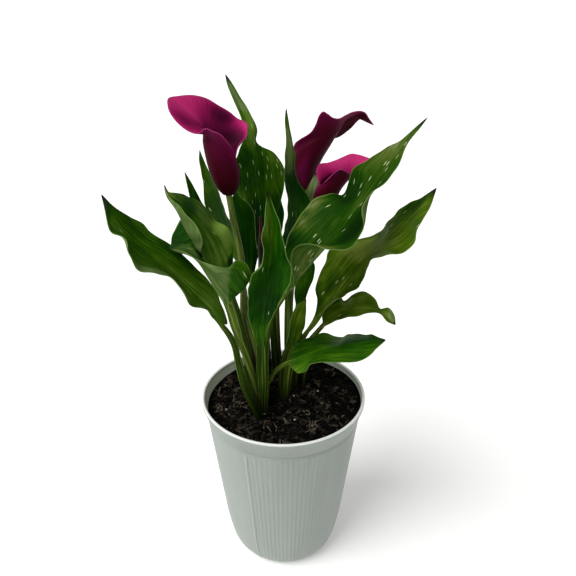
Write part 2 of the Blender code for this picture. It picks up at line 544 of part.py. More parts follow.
def spathe_grid(flower, columns, rows):
    """Each line up the sheet follows the tube as far as the rim says, then turns out to the rim's own place."""
    rim = []
    for angle, height in flower["inner_end"]:
        rim.append((*tube_place(flower, height + 4.0, angle), angle, height))
    rim += [(x, y, z, angle, height) for angle, height, x, y, z in flower["rim"]]
    for angle, height in flower["outer_end"]:
        rim.append((*tube_place(flower, height + 4.0, angle), angle, height))
    rim = np.array(rim, float)
    run = np.concatenate([[0.0], np.cumsum(np.linalg.norm(np.diff(rim[:, :3], axis=0), axis=1))])
    tip = np.interp(0.0, rim[:, 3], run / run[-1])
    halves = [np.linspace(0.0, tip, columns // 2), np.linspace(tip, 1.0, columns - columns // 2 + 1)[1:]]
    rim = smooth_curve(rim, np.concatenate(halves))
    middle = np.zeros((rows, columns, 3))
    for j, (x, y, z, angle, height) in enumerate(rim):
        line = [tube_place(flower, height * part, angle) for part in (0.0, 0.08, 0.2, 0.4, 0.6, 0.8, 1.0)]
        middle[:, j] = smooth_curve([*line, (x, y, z)], np.linspace(0.0, 1.0, rows))
    half = np.full((rows, columns), SPATHE / 2)
    return middle, grid_normals(middle), half, half


def mesh_of_curve(curve_object):
    """The curve's own mesh with its end caps joined on; the curve is then removed."""
    graph = bpy.context.evaluated_depsgraph_get()
    mesh = bpy.data.meshes.new_from_object(curve_object.evaluated_get(graph))
    tube = bmesh.new()
    tube.from_mesh(mesh)
    bmesh.ops.remove_doubles(tube, verts=tube.verts, dist=1e-6)
    bmesh.ops.recalc_face_normals(tube, faces=tube.faces)
    tube.to_mesh(mesh)
    tube.free()
    bpy.data.objects.remove(curve_object, do_unlink=True)
    mesh.materials.clear()
    return mesh


def rod_mesh(name, points, radii, sides=2):
    """A round rod along points, as a bevelled curve with one radius for each point, made a mesh."""
    curve = bpy.data.curves.new(name, "CURVE")
    curve.dimensions = "3D"
    curve.bevel_depth = MM
    curve.bevel_resolution = sides
    curve.use_fill_caps = True
    spline = curve.splines.new("POLY")
    spline.points.add(len(points) - 1)
    for place, point, radius in zip(spline.points, points, radii):
        place.co = (*(np.array(point) * MM), 1.0)
        place.radius = radius
    rod = bpy.data.objects.new(name, curve)
    bpy.context.scene.collection.objects.link(rod)
    bpy.context.view_layer.update()
    return mesh_of_curve(rod)


def tube_foot(flower):
    """Where a flower's tube starts, and the direction it sets off in."""
    rings = np.array(flower["rings"], float)[:, :3]
    return rings[0], unit(rings[1] - rings[0])


def stem_line(flower):
    """Places along a flower's stem, from its root to just inside the spathe's tube."""
    foot, axis = tube_foot(flower)
    places = [(*flower["root"], ROOT_HEIGHT), *flower["stem"], foot - axis * 4.0]
    line = smooth_curve(places, np.linspace(0.0, 1.0, 11))
    return np.vstack([line, foot + axis * 3.0])


def make_flower(name, flower, materials, collection):
    line = stem_line(flower)
    radii = np.linspace(STEM_ROOT, STEM_TOP, len(line))
    stem = rod_mesh("stem_" + name, line, radii)
    mesh_object("stem_" + name, stem, materials["stem"], collection)
    spathe = sheet_mesh("spathe_" + name, *spathe_grid(flower, 24, 9))
    mesh_object("spathe_" + name, spathe, materials["spathe"], collection)
    foot, axis = tube_foot(flower)
    top = np.array(flower["rings"][4][:3], float)
    line = [foot + axis * (3.0 + SEAT), foot + axis * 8.0, top]
    line = smooth_curve(line, np.linspace(0.0, 1.0, 12))
    bumps = [2.4 + 0.25 * (-1) ** i - 0.9 * (i / 11) ** 3 for i in range(12)]
    spadix = rod_mesh("spadix_" + name, line, bumps)
    mesh_object("spadix_" + name, spadix, materials["spadix"], collection)


def round_frame(line, radius, rows=40):
    """Centre, directions and half sizes along a round stem, in the form that the holes need."""
    centre = smooth_curve(line, np.linspace(0.0, 1.0, rows))
    travel = unit(np.gradient(centre, axis=0))
    sides = unit(np.cross(travel, np.array([0.0, 1.0, 0.0])))
    size = np.full(rows, radius)
    return centre, sides, np.cross(sides, travel), size, size


def make_bud(materials, collection):
    """The closed bud and its stem; gives the stem's line."""
    bud_line = from_viewer(BUD_LINE)
    places = [(*BUD_ROOT, ROOT_HEIGHT), *from_viewer(BUD_STEM)]
    line = smooth_curve(places, np.linspace(0.0, 1.0, 9))
    line[-1] = np.array(bud_line[0]) - np.array([0.0, 0.0, SEAT])
    stem = rod_mesh("stem_bud", line, np.linspace(BUD_STEM_ROOT, 1.7, len(line)))
    mesh_object("stem_bud", stem, materials["stem"], collection)
    fractions = np.linspace(0.0, 1.0, 9)
    radii = np.interp(fractions, np.linspace(0.0, 1.0, len(BUD_RADII)), BUD_RADII)
    bud = rod_mesh("bud_closed", smooth_curve(bud_line, fractions), radii)
    mesh_object("bud_closed", bud, materials["spathe"], collection)
    return line


def lathe(name, profile, steps, material, collection):
    """A turned body from (radius, height) pairs that run down the outside, top to bottom."""
    mesh = bpy.data.meshes.new(name)
    points = [(radius * MM, 0.0, height * MM) for radius, height in profile]
    mesh.from_pydata(points, [(i, i + 1) for i in range(len(points) - 1)], [])
    body = mesh_object(name, mesh, material, collection)
    screw = body.modifiers.new("turn", "SCREW")
    screw.steps = screw.render_steps = steps
    screw.use_merge_vertices = True
    screw.merge_threshold = 1e-5
    screw.use_normal_calculate = True
    return body


def apply_modifiers(body):
    graph = bpy.context.evaluated_depsgraph_get()
    mesh = bpy.data.meshes.new_from_object(body.evaluated_get(graph))
    body.modifiers.clear()
    body.data = mesh


def join_all(body, collection, operation):
    """One exact Boolean of the body with every helper in the collection, applied; the helpers are then removed."""
    boolean = body.modifiers.new("join", "BOOLEAN")
    boolean.operation = operation
    boolean.solver = "EXACT"
    boolean.operand_type = "COLLECTION"
    boolean.collection = collection
    apply_modifiers(body)
    for helper in list(collection.objects):
        bpy.data.objects.remove(helper, do_unlink=True)


def helper_object(name, mesh, collection):
    helper = bpy.data.objects.new(name, mesh)
    helper.hide_render = True
    helper.display_type = "WIRE"
    collection.objects.link(helper)
    return helper


def box_mesh(name, size, matrix):
    mesh = bpy.data.meshes.new(name)
    box = bmesh.new()
    bmesh.ops.create_cube(box, size=1.0, matrix=matrix @ Matrix.Diagonal((*size, 1.0)))
    box.to_mesh(mesh)
    box.free()
    return mesh


def add_ribs(pot, helpers):
    """Fine upright ribs in three panels, each a slim bar sunk half its depth into the wall."""
    top, foot = Vector((WALL_TOP[0], 0, WALL_TOP[1] - 2.0)), Vector((WALL_FOOT[0], 0, WALL_FOOT[1] + 2.0))
    lean = (top - foot).to_track_quat("Z", "Y").to_matrix().to_4x4()
    length = (top - foot).length
    for centre in PANEL_CENTRES_DEGREES:
        for k in range(RIBS_PER_PANEL):
            turn = math.radians(centre + (k - (RIBS_PER_PANEL - 1) / 2) * RIB_PITCH_DEGREES)
            place = Matrix.Rotation(turn, 4, "Z") @ Matrix.Translation((top + foot) / 2 * MM) @ lean
            size = (2 * RIB_PROUD * MM, RIB_WIDTH * MM, length * MM)
            helper_object("rib", box_mesh("rib", size, place), helpers)
    join_all(pot, helpers, "UNION")


def cut_drain_holes(pot, helpers):
    for k in range(DRAIN_HOLES):
        turn = 2 * math.pi * k / DRAIN_HOLES
        mesh = bpy.data.meshes.new("drain")
        drill = bmesh.new()
        place = Matrix.Translation((DRAIN_RING * MM * math.cos(turn), DRAIN_RING * MM * math.sin(turn), 0.0))
        bmesh.ops.create_cone(drill, cap_ends=True, segments=12, radius1=DRAIN_RADIUS * MM,
                              radius2=DRAIN_RADIUS * MM, depth=4 * WALL * MM, matrix=place)
        drill.to_mesh(mesh)
        drill.free()
        helper_object("drain", mesh, helpers)
    join_all(pot, helpers, "DIFFERENCE")


def pot_outside():
    groove = (FLARE_FOOT[0] - GROOVE_DEPTH, FLARE_FOOT[1] - 1.5)
    lip = [(RIM_RADIUS, POT_HEIGHT), (RIM_RADIUS, POT_HEIGHT - LIP_HEIGHT)]
    return [*lip, FLARE_FOOT, groove, WALL_TOP, WALL_FOOT, *FOOT_CURVE]


def pot_inside():
    """The wall's inner side, from the floor's centre up to the lip."""
    up = [(radius - WALL, height + WALL * (height < 10)) for radius, height in pot_outside()[2:]]
    up[1] = (up[1][0] + GROOVE_DEPTH / 2, up[1][1])
    lip = [(RIM_RADIUS - WALL, POT_HEIGHT - LIP_HEIGHT), (RIM_RADIUS - LIP_WIDTH, POT_HEIGHT - 1.0)]
    return [*reversed(up)] + lip


def make_pot(material, collection, helpers):
    profile = [(RIM_RADIUS - LIP_WIDTH + 0.8, POT_HEIGHT), *pot_outside(), (0.0, 0.0), (0.0, WALL)]
    profile += pot_inside() + [(RIM_RADIUS - LIP_WIDTH + 0.8, POT_HEIGHT)]
    pot = lathe("pot", profile, LATHE_STEPS, material, collection)
    apply_modifiers(pot)
    close_mesh(pot.data)
    add_ribs(pot, helpers)
    cut_drain_holes(pot, helpers)
    pot.data.shade_smooth()
    pot.data.set_sharp_from_angle(angle=math.radians(30))


def close_mesh(mesh):
    shell = bmesh.new()
    shell.from_mesh(mesh)
    bmesh.ops.remove_doubles(shell, verts=shell.verts, dist=1e-6)
    bmesh.ops.dissolve_degenerate(shell, edges=shell.edges, dist=1e-6)
    bmesh.ops.recalc_face_normals(shell, faces=shell.faces)
    shell.to_mesh(mesh)
    shell.free()


def soil_top(x, y):
    """Height of the soil: slightly mounded round the crown, and heaped towards the right and the back."""
    slope = (SOIL_TILT[0] * x + SOIL_TILT[1] * y) / RIM_RADIUS
    return SOIL_EDGE + slope + SOIL_MOUND * math.exp(-((math.hypot(x, y) / 38.0) ** 2))


def wall_radius(height):
    """Radius of the pot's inner side at a height, near the top."""
    upper = [place for place in pot_inside() if place[1] > 100]
    return float(np.interp(height, [place[1] for place in upper], [place[0] for place in upper]))


def make_soil(material, collection, helpers, stalk_lines):
    rings = [0.0, 10.0, 21.0, 32.0, 43.0, 54.0, 64.0]
    inner = [(radius, height) for radius, height in pot_inside() if height < SOIL_EDGE - 4]
    profile = [(radius, SOIL_EDGE) for radius in rings] + [(wall_radius(SOIL_EDGE) - SOIL_GAP, SOIL_EDGE)]
    profile += [(radius - SOIL_GAP, height + SOIL_GAP) for radius, height in reversed(inner)]
    profile.append((0.0, WALL + SOIL_GAP))
    soil = lathe("soil", profile, SOIL_STEPS, material, collection)
    apply_modifiers(soil)
    close_mesh(soil.data)
    for vertex in soil.data.vertices:
        if vertex.co.z < (SOIL_EDGE - 1) * MM:
            continue
        x, y = vertex.co.x / MM, vertex.co.y / MM
        height, radius = soil_top(x, y), math.hypot(x, y)
        if radius < 66:
            height += SOIL_ROUGHNESS * noise.noise(vertex.co / (9 * MM))
        else:
            vertex.co.xy *= (wall_radius(height) - SOIL_GAP) / radius
        vertex.co.z = height * MM
    add_chips(helpers, stalk_lines)
    join_all(soil, helpers, "UNION")
    for centre, sides, ups, width, depth in stalk_lines:
        helper_object("hole", hole_mesh(centre, sides, ups, width, depth), helpers)
    join_all(soil, helpers, "DIFFERENCE")
    keep_largest_body(soil.data)


def hole_mesh(centre, sides, ups, width, depth):
    """The cutter for one stalk's hole: the stalk's own section with a little clearance, from below its root."""
    low = centre[:, 2] < SOIL_EDGE + 16
    centre, sides, ups, width, depth = (values[low] for values in (centre, sides, ups, width, depth))
    keep = [0, len(centre) // 2, len(centre) - 1]
    rings = []
    turns = np.linspace(0.0, 2 * math.pi, HOLE_SIDES, endpoint=False)
    for k in keep:
        middle = centre[k] - (unit(centre[1] - centre[0]) * 0.5 if k == 0 else 0.0)
        across, deep = width[k] + HOLE_CLEARANCE, depth[k] + HOLE_CLEARANCE
        rings.append([middle + sides[k] * across * math.cos(turn) + ups[k] * deep * math.sin(turn)
                      for turn in turns])
    points = np.array(rings).reshape(-1, 3) * MM
    faces = [tuple(range(HOLE_SIDES)), tuple(range(2 * HOLE_SIDES, 3 * HOLE_SIDES))]
    for ring in range(2):
        for k in range(HOLE_SIDES):
            a, b = ring * HOLE_SIDES + k, ring * HOLE_SIDES + (k + 1) % HOLE_SIDES
            faces.append((a, b, b + HOLE_SIDES, a + HOLE_SIDES))
    mesh = bpy.data.meshes.new("hole")
    mesh.from_pydata(points.tolist(), [], faces)
    close_mesh(mesh)
    return mesh


def add_chips(helpers, stalk_lines):
    """Bark chips, half sunk, scattered by a seeded draw that stays clear of the stalks and the pot."""
    draw = random.Random(CHIP_SEED)
    placed = 0
    while placed < CHIPS:
        radius, turn = 62.0 * math.sqrt(draw.random()), draw.uniform(0, 2 * math.pi)
        spin, tilt, length = draw.uniform(0, math.pi), draw.uniform(-0.3, 0.3), draw.uniform(6.0, 13.0)
        width, height = draw.uniform(2.5, 5.0), draw.uniform(2.5, 4.0)
        x, y = radius * math.cos(turn), radius * math.sin(turn)
        if min(math.hypot(x - line[0][0][0], y - line[0][0][1]) for line in stalk_lines) < 10.0:
            continue
        place = Matrix.Translation(Vector((x, y, soil_top(x, y))) * MM)
        place = place @ Matrix.Rotation(spin, 4, "Z") @ Matrix.Rotation(tilt, 4, "X")
        helper_object("chip", box_mesh("chip", (width * MM, length * MM, height * MM), place), helpers)
        placed += 1


def keep_largest_body(mesh):
    """Loose crumbs that the holes cut free are dropped."""
    body = bmesh.new()
    body.from_mesh(mesh)
    left, groups = set(body.verts), []
    while left:
        group, edge = set(), [left.pop()]
        while edge:
            vertex = edge.pop()
            group.add(vertex)
            for link in vertex.link_edges:
                other = link.other_vert(vertex)
                if other in left:
                    left.remove(other)
                    edge.append(other)
        groups.append(group)
    groups.sort(key=len)
    for group in groups[:-1]:
        bmesh.ops.delete(body, geom=list(group), context="VERTS")
    body.to_mesh(mesh)
    body.free()


def main():
    clear_scene()
    collection = new_collection(OBJECT_NAME)
    helpers = new_collection("helpers")
    materials = {
        "pot": plain_material("pot_plastic", (0.34, 0.38, 0.34), 0.55),
        "soil": plain_material("bark_soil", (0.012, 0.009, 0.006), 0.95),
        "leaf": plain_material("leaf_green", (0.04, 0.11, 0.01), 0.4),
        "stem": plain_material("stem_olive", (0.12, 0.16, 0.05), 0.45),
        "spathe": plain_material("spathe_magenta", (0.25, 0.01, 0.07), 0.4),
        "spadix": plain_material("spadix_yellow", (0.6, 0.35, 0.08), 0.6),
    }
    make_pot(materials["pot"], collection, helpers)
    stalk_lines = []
    for name, leaf in LEAVES.items():
        leaf = spread_leaf(leaf)
        make_leaf(name, leaf, materials["leaf"], collection)
        stalk_lines.append((*stalk_frame(leaf, 40), *stalk_sizes(leaf, 40)))
    for name, flower in FLOWERS.items():
        flower = spread_flower(flower)
        make_flower(name, flower, materials, collection)
        stalk_lines.append(round_frame(stem_line(flower), STEM_ROOT))
    line = make_bud(materials, collection)
    stalk_lines.append(round_frame(line, BUD_STEM_ROOT))
    make_soil(materials["soil"], collection, helpers, stalk_lines)


main()
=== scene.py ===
# %% [markdown]
# # A potted calla lily
# The plant stands in a tapered nursery pot. Long pointed leaves and rolled flowers rise from one crown in the bark
# compost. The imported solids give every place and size, and this lesson dresses them: each leaf, flower and stem is made
# again with more points, the pot gets its fine ribs, and the soil its crumbs. Each finish then follows the real one.

# %% Load the frame
import math
import random
import bpy
import numpy as np
from mathutils import Matrix, Vector


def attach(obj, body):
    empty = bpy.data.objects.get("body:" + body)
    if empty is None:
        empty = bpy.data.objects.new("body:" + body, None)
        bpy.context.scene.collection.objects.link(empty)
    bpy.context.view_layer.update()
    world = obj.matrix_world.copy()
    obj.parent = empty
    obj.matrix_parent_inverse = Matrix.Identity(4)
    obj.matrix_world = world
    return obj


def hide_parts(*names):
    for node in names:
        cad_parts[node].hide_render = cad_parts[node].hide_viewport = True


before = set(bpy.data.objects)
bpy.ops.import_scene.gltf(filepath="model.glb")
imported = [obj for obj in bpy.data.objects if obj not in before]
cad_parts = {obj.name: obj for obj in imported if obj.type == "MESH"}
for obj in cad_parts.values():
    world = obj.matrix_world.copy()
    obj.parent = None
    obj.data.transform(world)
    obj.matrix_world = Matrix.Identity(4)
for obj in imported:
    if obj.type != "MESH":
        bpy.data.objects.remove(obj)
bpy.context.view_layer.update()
MM = 0.001

# %% [markdown]
# ## Camera
# The photograph looks down on the pot from a little above the flowers, about half a metre away. The lens is a normal
# one, 40 mm on a 36 mm sensor, so near leaves are only slightly larger than far ones.

# %% Camera
EYE = np.array([0.0, -488.5, 520.4])
LOOKING_DOWN, ROLLED = 26.3, -0.5
bpy.ops.object.camera_add(location=EYE * MM, rotation=(math.radians(90.0 - LOOKING_DOWN), 0.0, math.radians(ROLLED)))
camera = bpy.context.object
camera.name = "camera"
camera.data.lens = 40.0
camera.data.sensor_width = 36.0
camera.data.clip_start = 0.01
bpy.context.scene.camera = camera
print("camera", [round(x, 4) for x in camera.location], "lens", camera.data.lens)

# %% [markdown]
# ## Floor and light
# A pale floor runs far back, so it fills the view behind the plant as a white sheet would. It also glows faintly:
# painted light that lightens the plant's shadow on it and lights the plant a little from below. A sun lamp with a wide
# disc gives the even light of a large soft box from the upper left: the left leaves catch it and the right side of the
# pot falls into a gentle shade. A dim white dome, the sky of the scene, fills the shadows.

# %% Floor and light
bpy.ops.mesh.primitive_plane_add(size=40.0, location=(0.0, 0.0, -0.0005))
floor = bpy.context.object
floor.name = "floor"
bpy.ops.object.light_add(type="SUN", location=(-1.0, -1.0, 1.5))
lamp = bpy.context.object
lamp.name = "soft_box"
lamp.data.energy = 3.1
lamp.data.angle = math.radians(48.0)
lamp.rotation_euler = Vector((0.74, 0.48, -1.0)).to_track_quat("-Z", "Y").to_euler()
world = bpy.data.worlds.new("studio")
bpy.context.scene.world = world
world.use_nodes = True
world.node_tree.nodes["Background"].inputs["Color"].default_value = (1.0, 1.0, 1.0, 1.0)
world.node_tree.nodes["Background"].inputs["Strength"].default_value = 0.42
bpy.context.scene.view_settings.view_transform = "Standard"
print("lamp", lamp.name, "strength", lamp.data.energy)

# %% [markdown]
# ## Helpers for materials and pieces
# Colours are written as the hex values that a paint program shows, so one function turns them into the linear values
# that the renderer needs. One more adds a node with its settings and links, which keeps each material short enough to
# read from top to bottom; the part of it that fills a node in also serves the shader. The last dresses a finished
# piece and hides the imported solid that it replaces.

# %% Helpers for materials and pieces


def colour(text):
    """The linear colour of an sRGB hex value such as #2E5A06."""
    parts = [int(text[i:i + 2], 16) / 255.0 for i in (1, 3, 5)]
    return (*[p / 12.92 if p <= 0.04045 else ((p + 0.055) / 1.055) ** 2.4 for p in parts], 1.0)


def fill(node, *inputs, **named):
    """Gives a node its settings (small letters) and inputs, in order or by name. A node stands for its first output."""
    for name, value in named.items():
        if name[0].islower():
            setattr(node, name, value)
    given = list(zip([socket for socket in node.inputs if socket.enabled], inputs))
    given += [(node.inputs[name.replace("_", " ")], value) for name, value in named.items() if name[0].isupper()]
    for socket, value in given:
        if isinstance(value, bpy.types.Node):
            value = next(output for output in value.outputs if output.enabled)
        if isinstance(value, bpy.types.NodeSocket):
            node.id_data.links.new(value, socket)
        else:
            socket.default_value = colour(value) if isinstance(value, str) else value
    return node


def add(material, kind, *inputs, stops=(), **named):
    """Adds a node of this kind with its settings and links, and a colour ramp's stops (place, colour)."""
    node = fill(material.node_tree.nodes.new("ShaderNode" + kind), *inputs, **named)
    if stops:
        elements = node.color_ramp.elements
        while len(elements) < len(stops):
            elements.new(1.0)
        for element, (place, tone) in zip(elements, stops):
            element.position, element.color = place, colour(tone)
    return node


def new_material(name, **inputs):
    """A material whose Principled shader gets these values."""
    material = bpy.data.materials.new(name)
    material.use_nodes = True
    return material, fill(material.node_tree.nodes["Principled BSDF"], **inputs)


def dress(piece, skin, slot, *solids):
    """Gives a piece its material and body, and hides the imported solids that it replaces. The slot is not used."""
    piece.data.materials.clear()
    piece.data.materials.append(skin)
    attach(piece, "root")
    for solid in solids:
        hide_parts(solid)


# The floor glows faintly: painted light that lightens the plant's shadow on it.
floor_paint, shader = new_material("matt_pale_glowing_floor_paint", Base_Color="#F4F4F2", Roughness=0.9, Emission_Strength=0.18)
floor.data.materials.append(floor_paint)
print("leaf green", [round(x, 3) for x in colour("#2E5A06")])

# %% [markdown]
# ## A smooth line and a sleeve
# Every living part here is a soft line with a section that changes along it. The line runs smoothly through a few
# places. The skin starts as a flat grid from the Add menu, whose points are laid round that section like a sleeve, and
# its open seam and ends are merged. One idea serves leaves, flowers and stems. The grid carries two notes for the
# materials: where a point lies on the leaf or petal, as shares and as millimetres, and which face it is on.

# %% Lines and sleeves
CURVE_STEPS = 17
MERGE_WITHIN = 2e-6


def unit(vectors):
    return vectors / np.maximum(np.linalg.norm(vectors, axis=-1, keepdims=True), 1e-9)


def travelled(points):
    """How far along a line of points each one lies."""
    return np.concatenate([[0.0], np.cumsum(np.linalg.norm(np.diff(points, axis=0), axis=1))])


def smooth_curve(places, fractions):
    """Points at fractions of the length of a smooth curve through the places."""
    places = np.array(places, float)
    steps = np.sqrt(np.maximum(np.linalg.norm(np.diff(places[:, :3], axis=0), axis=1), 1e-6))
    slopes = np.diff(places, axis=0) / steps[:, None]
    before, after = steps[:-1, None], steps[1:, None]
    inner = (slopes[:-1] * after + slopes[1:] * before) / (before + after)
    tangents = np.vstack([slopes[:1], inner, slopes[-1:]])
    u = np.linspace(0.0, 1.0, CURVE_STEPS)[:, None]
    dense = np.vstack([
        (2 * u**3 - 3 * u**2 + 1) * places[i] + (u**3 - 2 * u**2 + u) * step * tangents[i]
        + (3 * u**2 - 2 * u**3) * places[i + 1] + (u**3 - u**2) * step * tangents[i + 1]
        for i, step in enumerate(steps)])
    run = travelled(dense[:, :3])
    wanted = np.asarray(fractions, float) * run[-1]
    return np.stack([np.interp(wanted, run, column) for column in dense.T], axis=1)


def sleeve(name, rings, notes):
    """A grid wrapped round the rings (rows of points in mm whose first and last are the same) and merged shut."""
    rows, around = rings.shape[:2]
    bpy.ops.object.select_all(action="DESELECT")
    bpy.ops.mesh.primitive_grid_add(x_subdivisions=around - 1, y_subdivisions=rows - 1, size=1.0)
    piece = bpy.context.object
    piece.name = name
    piece.data.vertices.foreach_set("co", (rings.reshape(-1) * MM).astype(np.float32))
    for note_name, values in notes.items():
        note = piece.data.attributes.new(note_name, "FLOAT_VECTOR", "POINT")
        note.data.foreach_set("vector", values.reshape(-1).astype(np.float32))
    bpy.ops.object.mode_set(mode="EDIT")
    bpy.ops.mesh.select_all(action="SELECT")
    bpy.ops.mesh.remove_doubles(threshold=MERGE_WITHIN)
    bpy.ops.mesh.normals_make_consistent(inside=False)
    bpy.ops.object.mode_set(mode="OBJECT")
    bpy.ops.object.shade_smooth()
    piece.data.update()
    return piece


def two_faces(middle, up, over, under, place, span):
    """Rings and notes for a thin sheet: one face across and the other back, meeting in one line on every edge."""
    def there_and_back(one, other):
        return np.concatenate([one, other[:, -2::-1]], axis=1)

    shut = np.ones(middle.shape[:2])
    shut[:, [0, -1]] = shut[-1] = 0.0
    rings = there_and_back(middle + up * (over * shut)[..., None], middle - up * (under * shut)[..., None])
    side = there_and_back(0.5 - 0.5 * shut, 0.5 + 0.5 * shut)[..., None]
    notes = {"place": place, "span": span}
    return rings, {name: np.concatenate([there_and_back(note, note), side], axis=2) for name, note in notes.items()}


print("a smooth line of", len(smooth_curve([(0, 0, 0), (1, 2, 3), (4, 4, 4)], np.linspace(0, 1, 9))), "points")

# %% [markdown]
# ## The leaves' lines
# A calla leaf is a long stalk that opens into a pointed blade with waved edges. Each record gives, in millimetres, its
# root in the soil, four half widths of the stalk from root to neck, places along the stalk, the midrib from the blade's
# foot to its thread-like tip, and both edges. A leaf with a fold is folded over on the left: the left line is the fold
# and the line called fold is the true edge.

# %% Leaves on the left


def read_records(text):
    """Records from plain text: a name with a colon, then words that are each followed by rows of numbers."""
    records = {}
    for word in text.replace(",", " ,").split():
        if word.endswith(":"):
            record = records[word[:-1]] = {}
        elif word[0].isalpha():
            rows = record[word] = [[]]
        elif word == ",":
            rows.append([])
        else:
            rows[-1].append(float(word))
    return {name: {key: np.array(rows) for key, rows in record.items()} for name, record in records.items()}


LEAVES = read_records("""
far_left: root -17 -26 broad 4 7.4 4.6 2.2 stalk -26 -27 179, -33 -28 199, -38 -29 223, -41 -30 242, -46 -30 253
  rib -50 -30 259, -61 -30 278, -76 -29 295, -90 -28 310, -104 -28 323, -118 -29 336, -128 -32 351, -131 -35 367,
  -133 -36 374 left -56 -33 267, -63 -39 279, -71 -44 284, -75 -45 293, -82 -43 304, -95 -46 313, -108 -50 319,
  -115 -49 331, -118 -45 340, -129 -41 347, -131 -38 360 right -46 -27 259, -52 -22 279, -61 -20 296, -76 -19 314,
  -88 -20 327, -103 -22 339, -108 -22 346, -117 -24 352, -126 -30 362
upper_left: root -27 0 broad 3 3.4 3 2.4 stalk -28 -4 191, -32 -8 228, -37 -10 255, -42 -9 273 rib -46 -5 284,
  -51 -8 304, -57 -10 325, -64 -12 342, -72 -14 355, -80 -17 363, -86 -20 369, -89 -22 377 left -50 -8 295,
  -60 -13 309, -67 -19 320, -72 -24 335, -76 -25 345, -80 -25 355, -85 -24 363, -88 -23 369 fold -53 -12 292,
  -60 -18 307, -65 -27 323, -62 -31 336, -63 -31 343, -68 -30 350, -77 -28 359, -86 -25 369 right -43 -2 292,
  -42 0 310, -42 0 325, -45 0 334, -57 2 341, -64 0 352, -73 -6 362, -81 -12 367, -87 -19 370
trumpet: root -22 -7 broad 3 4.6 4.2 3 stalk -25 -11 188, -29 -17 210, -36 -24 239, -41 -28 259, -43 -30 271
  rib -46 -31 282, -53 -34 296, -59 -36 309, -65 -37 320, -71 -36 325, -79 -35 327, -88 -34 330 left -38 -31 286,
  -29 -33 297, -25 -34 307, -29 -34 318, -35 -37 320, -40 -43 317, -51 -47 319, -59 -45 322, -67 -42 326, -75 -39 329,
  -82 -36 330 right -47 -26 288, -55 -20 297, -62 -12 309, -66 -10 322, -70 -8 336, -78 -7 345, -86 -10 334,
  -88 -18 328
left_back: root -29 19 broad 2.8 3.2 2.8 2.1 stalk -32 21 176, -37 20 210, -42 18 243, -49 16 274 rib -53 14 293,
  -59 12 318, -66 11 341, -72 11 358, -75 11 369, -78 11 377 left -59 14 301, -67 12 320, -73 10 339, -75 10 354,
  -77 10 368 right -50 18 302, -55 17 324, -60 16 339, -68 14 354, -73 12 367
""")
print("leaf records", len(LEAVES))

# %% Tall leaves behind on the left
LEAVES.update(read_records("""
left_tall: root -22 18 broad 2.8 3.2 2.8 2.1 stalk -25 22 185, -28 22 210, -32 22 241, -35 22 271 rib -38 21 292,
  -43 20 315, -49 19 338, -57 18 360, -63 18 378, -66 18 393 left -44 23 299, -52 24 318, -60 24 336, -65 22 349,
  -65 20 362, -66 18 377, -67 18 385 right -35 17 305, -39 16 324, -46 15 337, -50 15 355, -56 16 367, -60 17 377,
  -64 18 387
tall_back: root -15 32 broad 3.8 4.4 3.8 3 stalk -16 33 197, -18 31 236, -19 29 273 rib -19 27 295, -19 25 322,
  -19 23 350, -20 24 375, -22 26 393, -26 27 408, -32 28 426, -38 29 438, -44 30 449 left -23 24 311, -24 22 331,
  -27 20 345, -34 16 354, -38 14 361, -39 13 372, -39 14 382, -35 18 391, -31 22 402, -33 26 417, -39 27 432,
  -43 29 442 right -15 27 307, -9 27 326, -3 27 344, 1 28 359, 1 30 375, -7 30 387, -21 29 396, -20 29 406,
  -25 29 418, -32 30 430, -40 30 444
left_inner: root -16 11 broad 3.4 3.8 3.4 3 stalk -19 12 185, -22 14 203, -26 20 237, -27 26 264 rib -28 29 281,
  -28 32 301, -29 34 319, -32 35 335, -34 36 348, -36 36 358 left -33 30 288, -39 31 306, -45 33 324, -46 35 339,
  -41 36 352 right -23 31 290, -18 34 309, -17 35 328, -22 36 342, -30 37 354
"""))
print("leaf records", len(LEAVES))

# %% Leaves in the middle
LEAVES.update(read_records("""
front: root -17 -18 broad 2.4 4.6 5.6 4.6 stalk -18 -19 178, -18 -20 194, -18 -22 211, -18 -23 224 rib -18 -24 236,
  -18 -26 253, -15 -30 279, -13 -32 302, -10 -33 324, -9 -33 345, -10 -32 362, -11 -30 374 left -24 -26 245,
  -28 -32 267, -29 -36 282, -27 -40 297, -24 -41 311, -18 -40 319, -15 -39 329, -16 -39 338, -14 -38 350, -13 -35 361
  right -14 -26 248, -9 -32 268, -1 -38 287, 6 -42 306, 7 -43 318, 3 -42 331, 0 -40 342, -3 -38 354, -7 -34 364
narrow_tall: root 7 28 broad 4.2 5.2 5.2 3.6 stalk 5 27 195, 5 25 235, 6 24 270 rib 8 23 293, 10 22 314, 11 20 337,
  10 19 359, 7 19 380, 5 20 398, 4 20 412, 3 20 425 left 4 21 303, 0 18 316, 1 15 330, 4 14 343, 4 14 356, 1 14 367,
  1 14 377, 2 15 387, 3 17 401, 2 19 415 right 12 26 303, 19 25 320, 24 24 339, 22 23 351, 14 21 364, 9 20 374,
  10 21 387, 8 21 399, 5 21 414
small_pale: root 16 33 broad 3.2 3.4 3.2 2.4 stalk 14 30 198, 16 29 237, 17 29 274 rib 18 29 298, 20 29 317,
  22 29 335, 25 28 353, 28 27 372 left 15 28 308, 15 28 326, 16 28 342, 21 27 359 right 22 29 306, 26 29 325,
  29 29 343, 30 28 361
folded_back: root -4 35 broad 4.2 5 4.8 3.6 stalk -7 37 195, -8 38 232, -8 39 268 rib -8 40 289, -7 41 308, -6 41 323,
  -5 41 336, -4 41 350 left -11 39 303, -12 39 320, -11 39 333, -9 39 343 right -3 39 303, 0 39 320, 1 39 333,
  -1 39 343
"""))
print("leaf records", len(LEAVES))

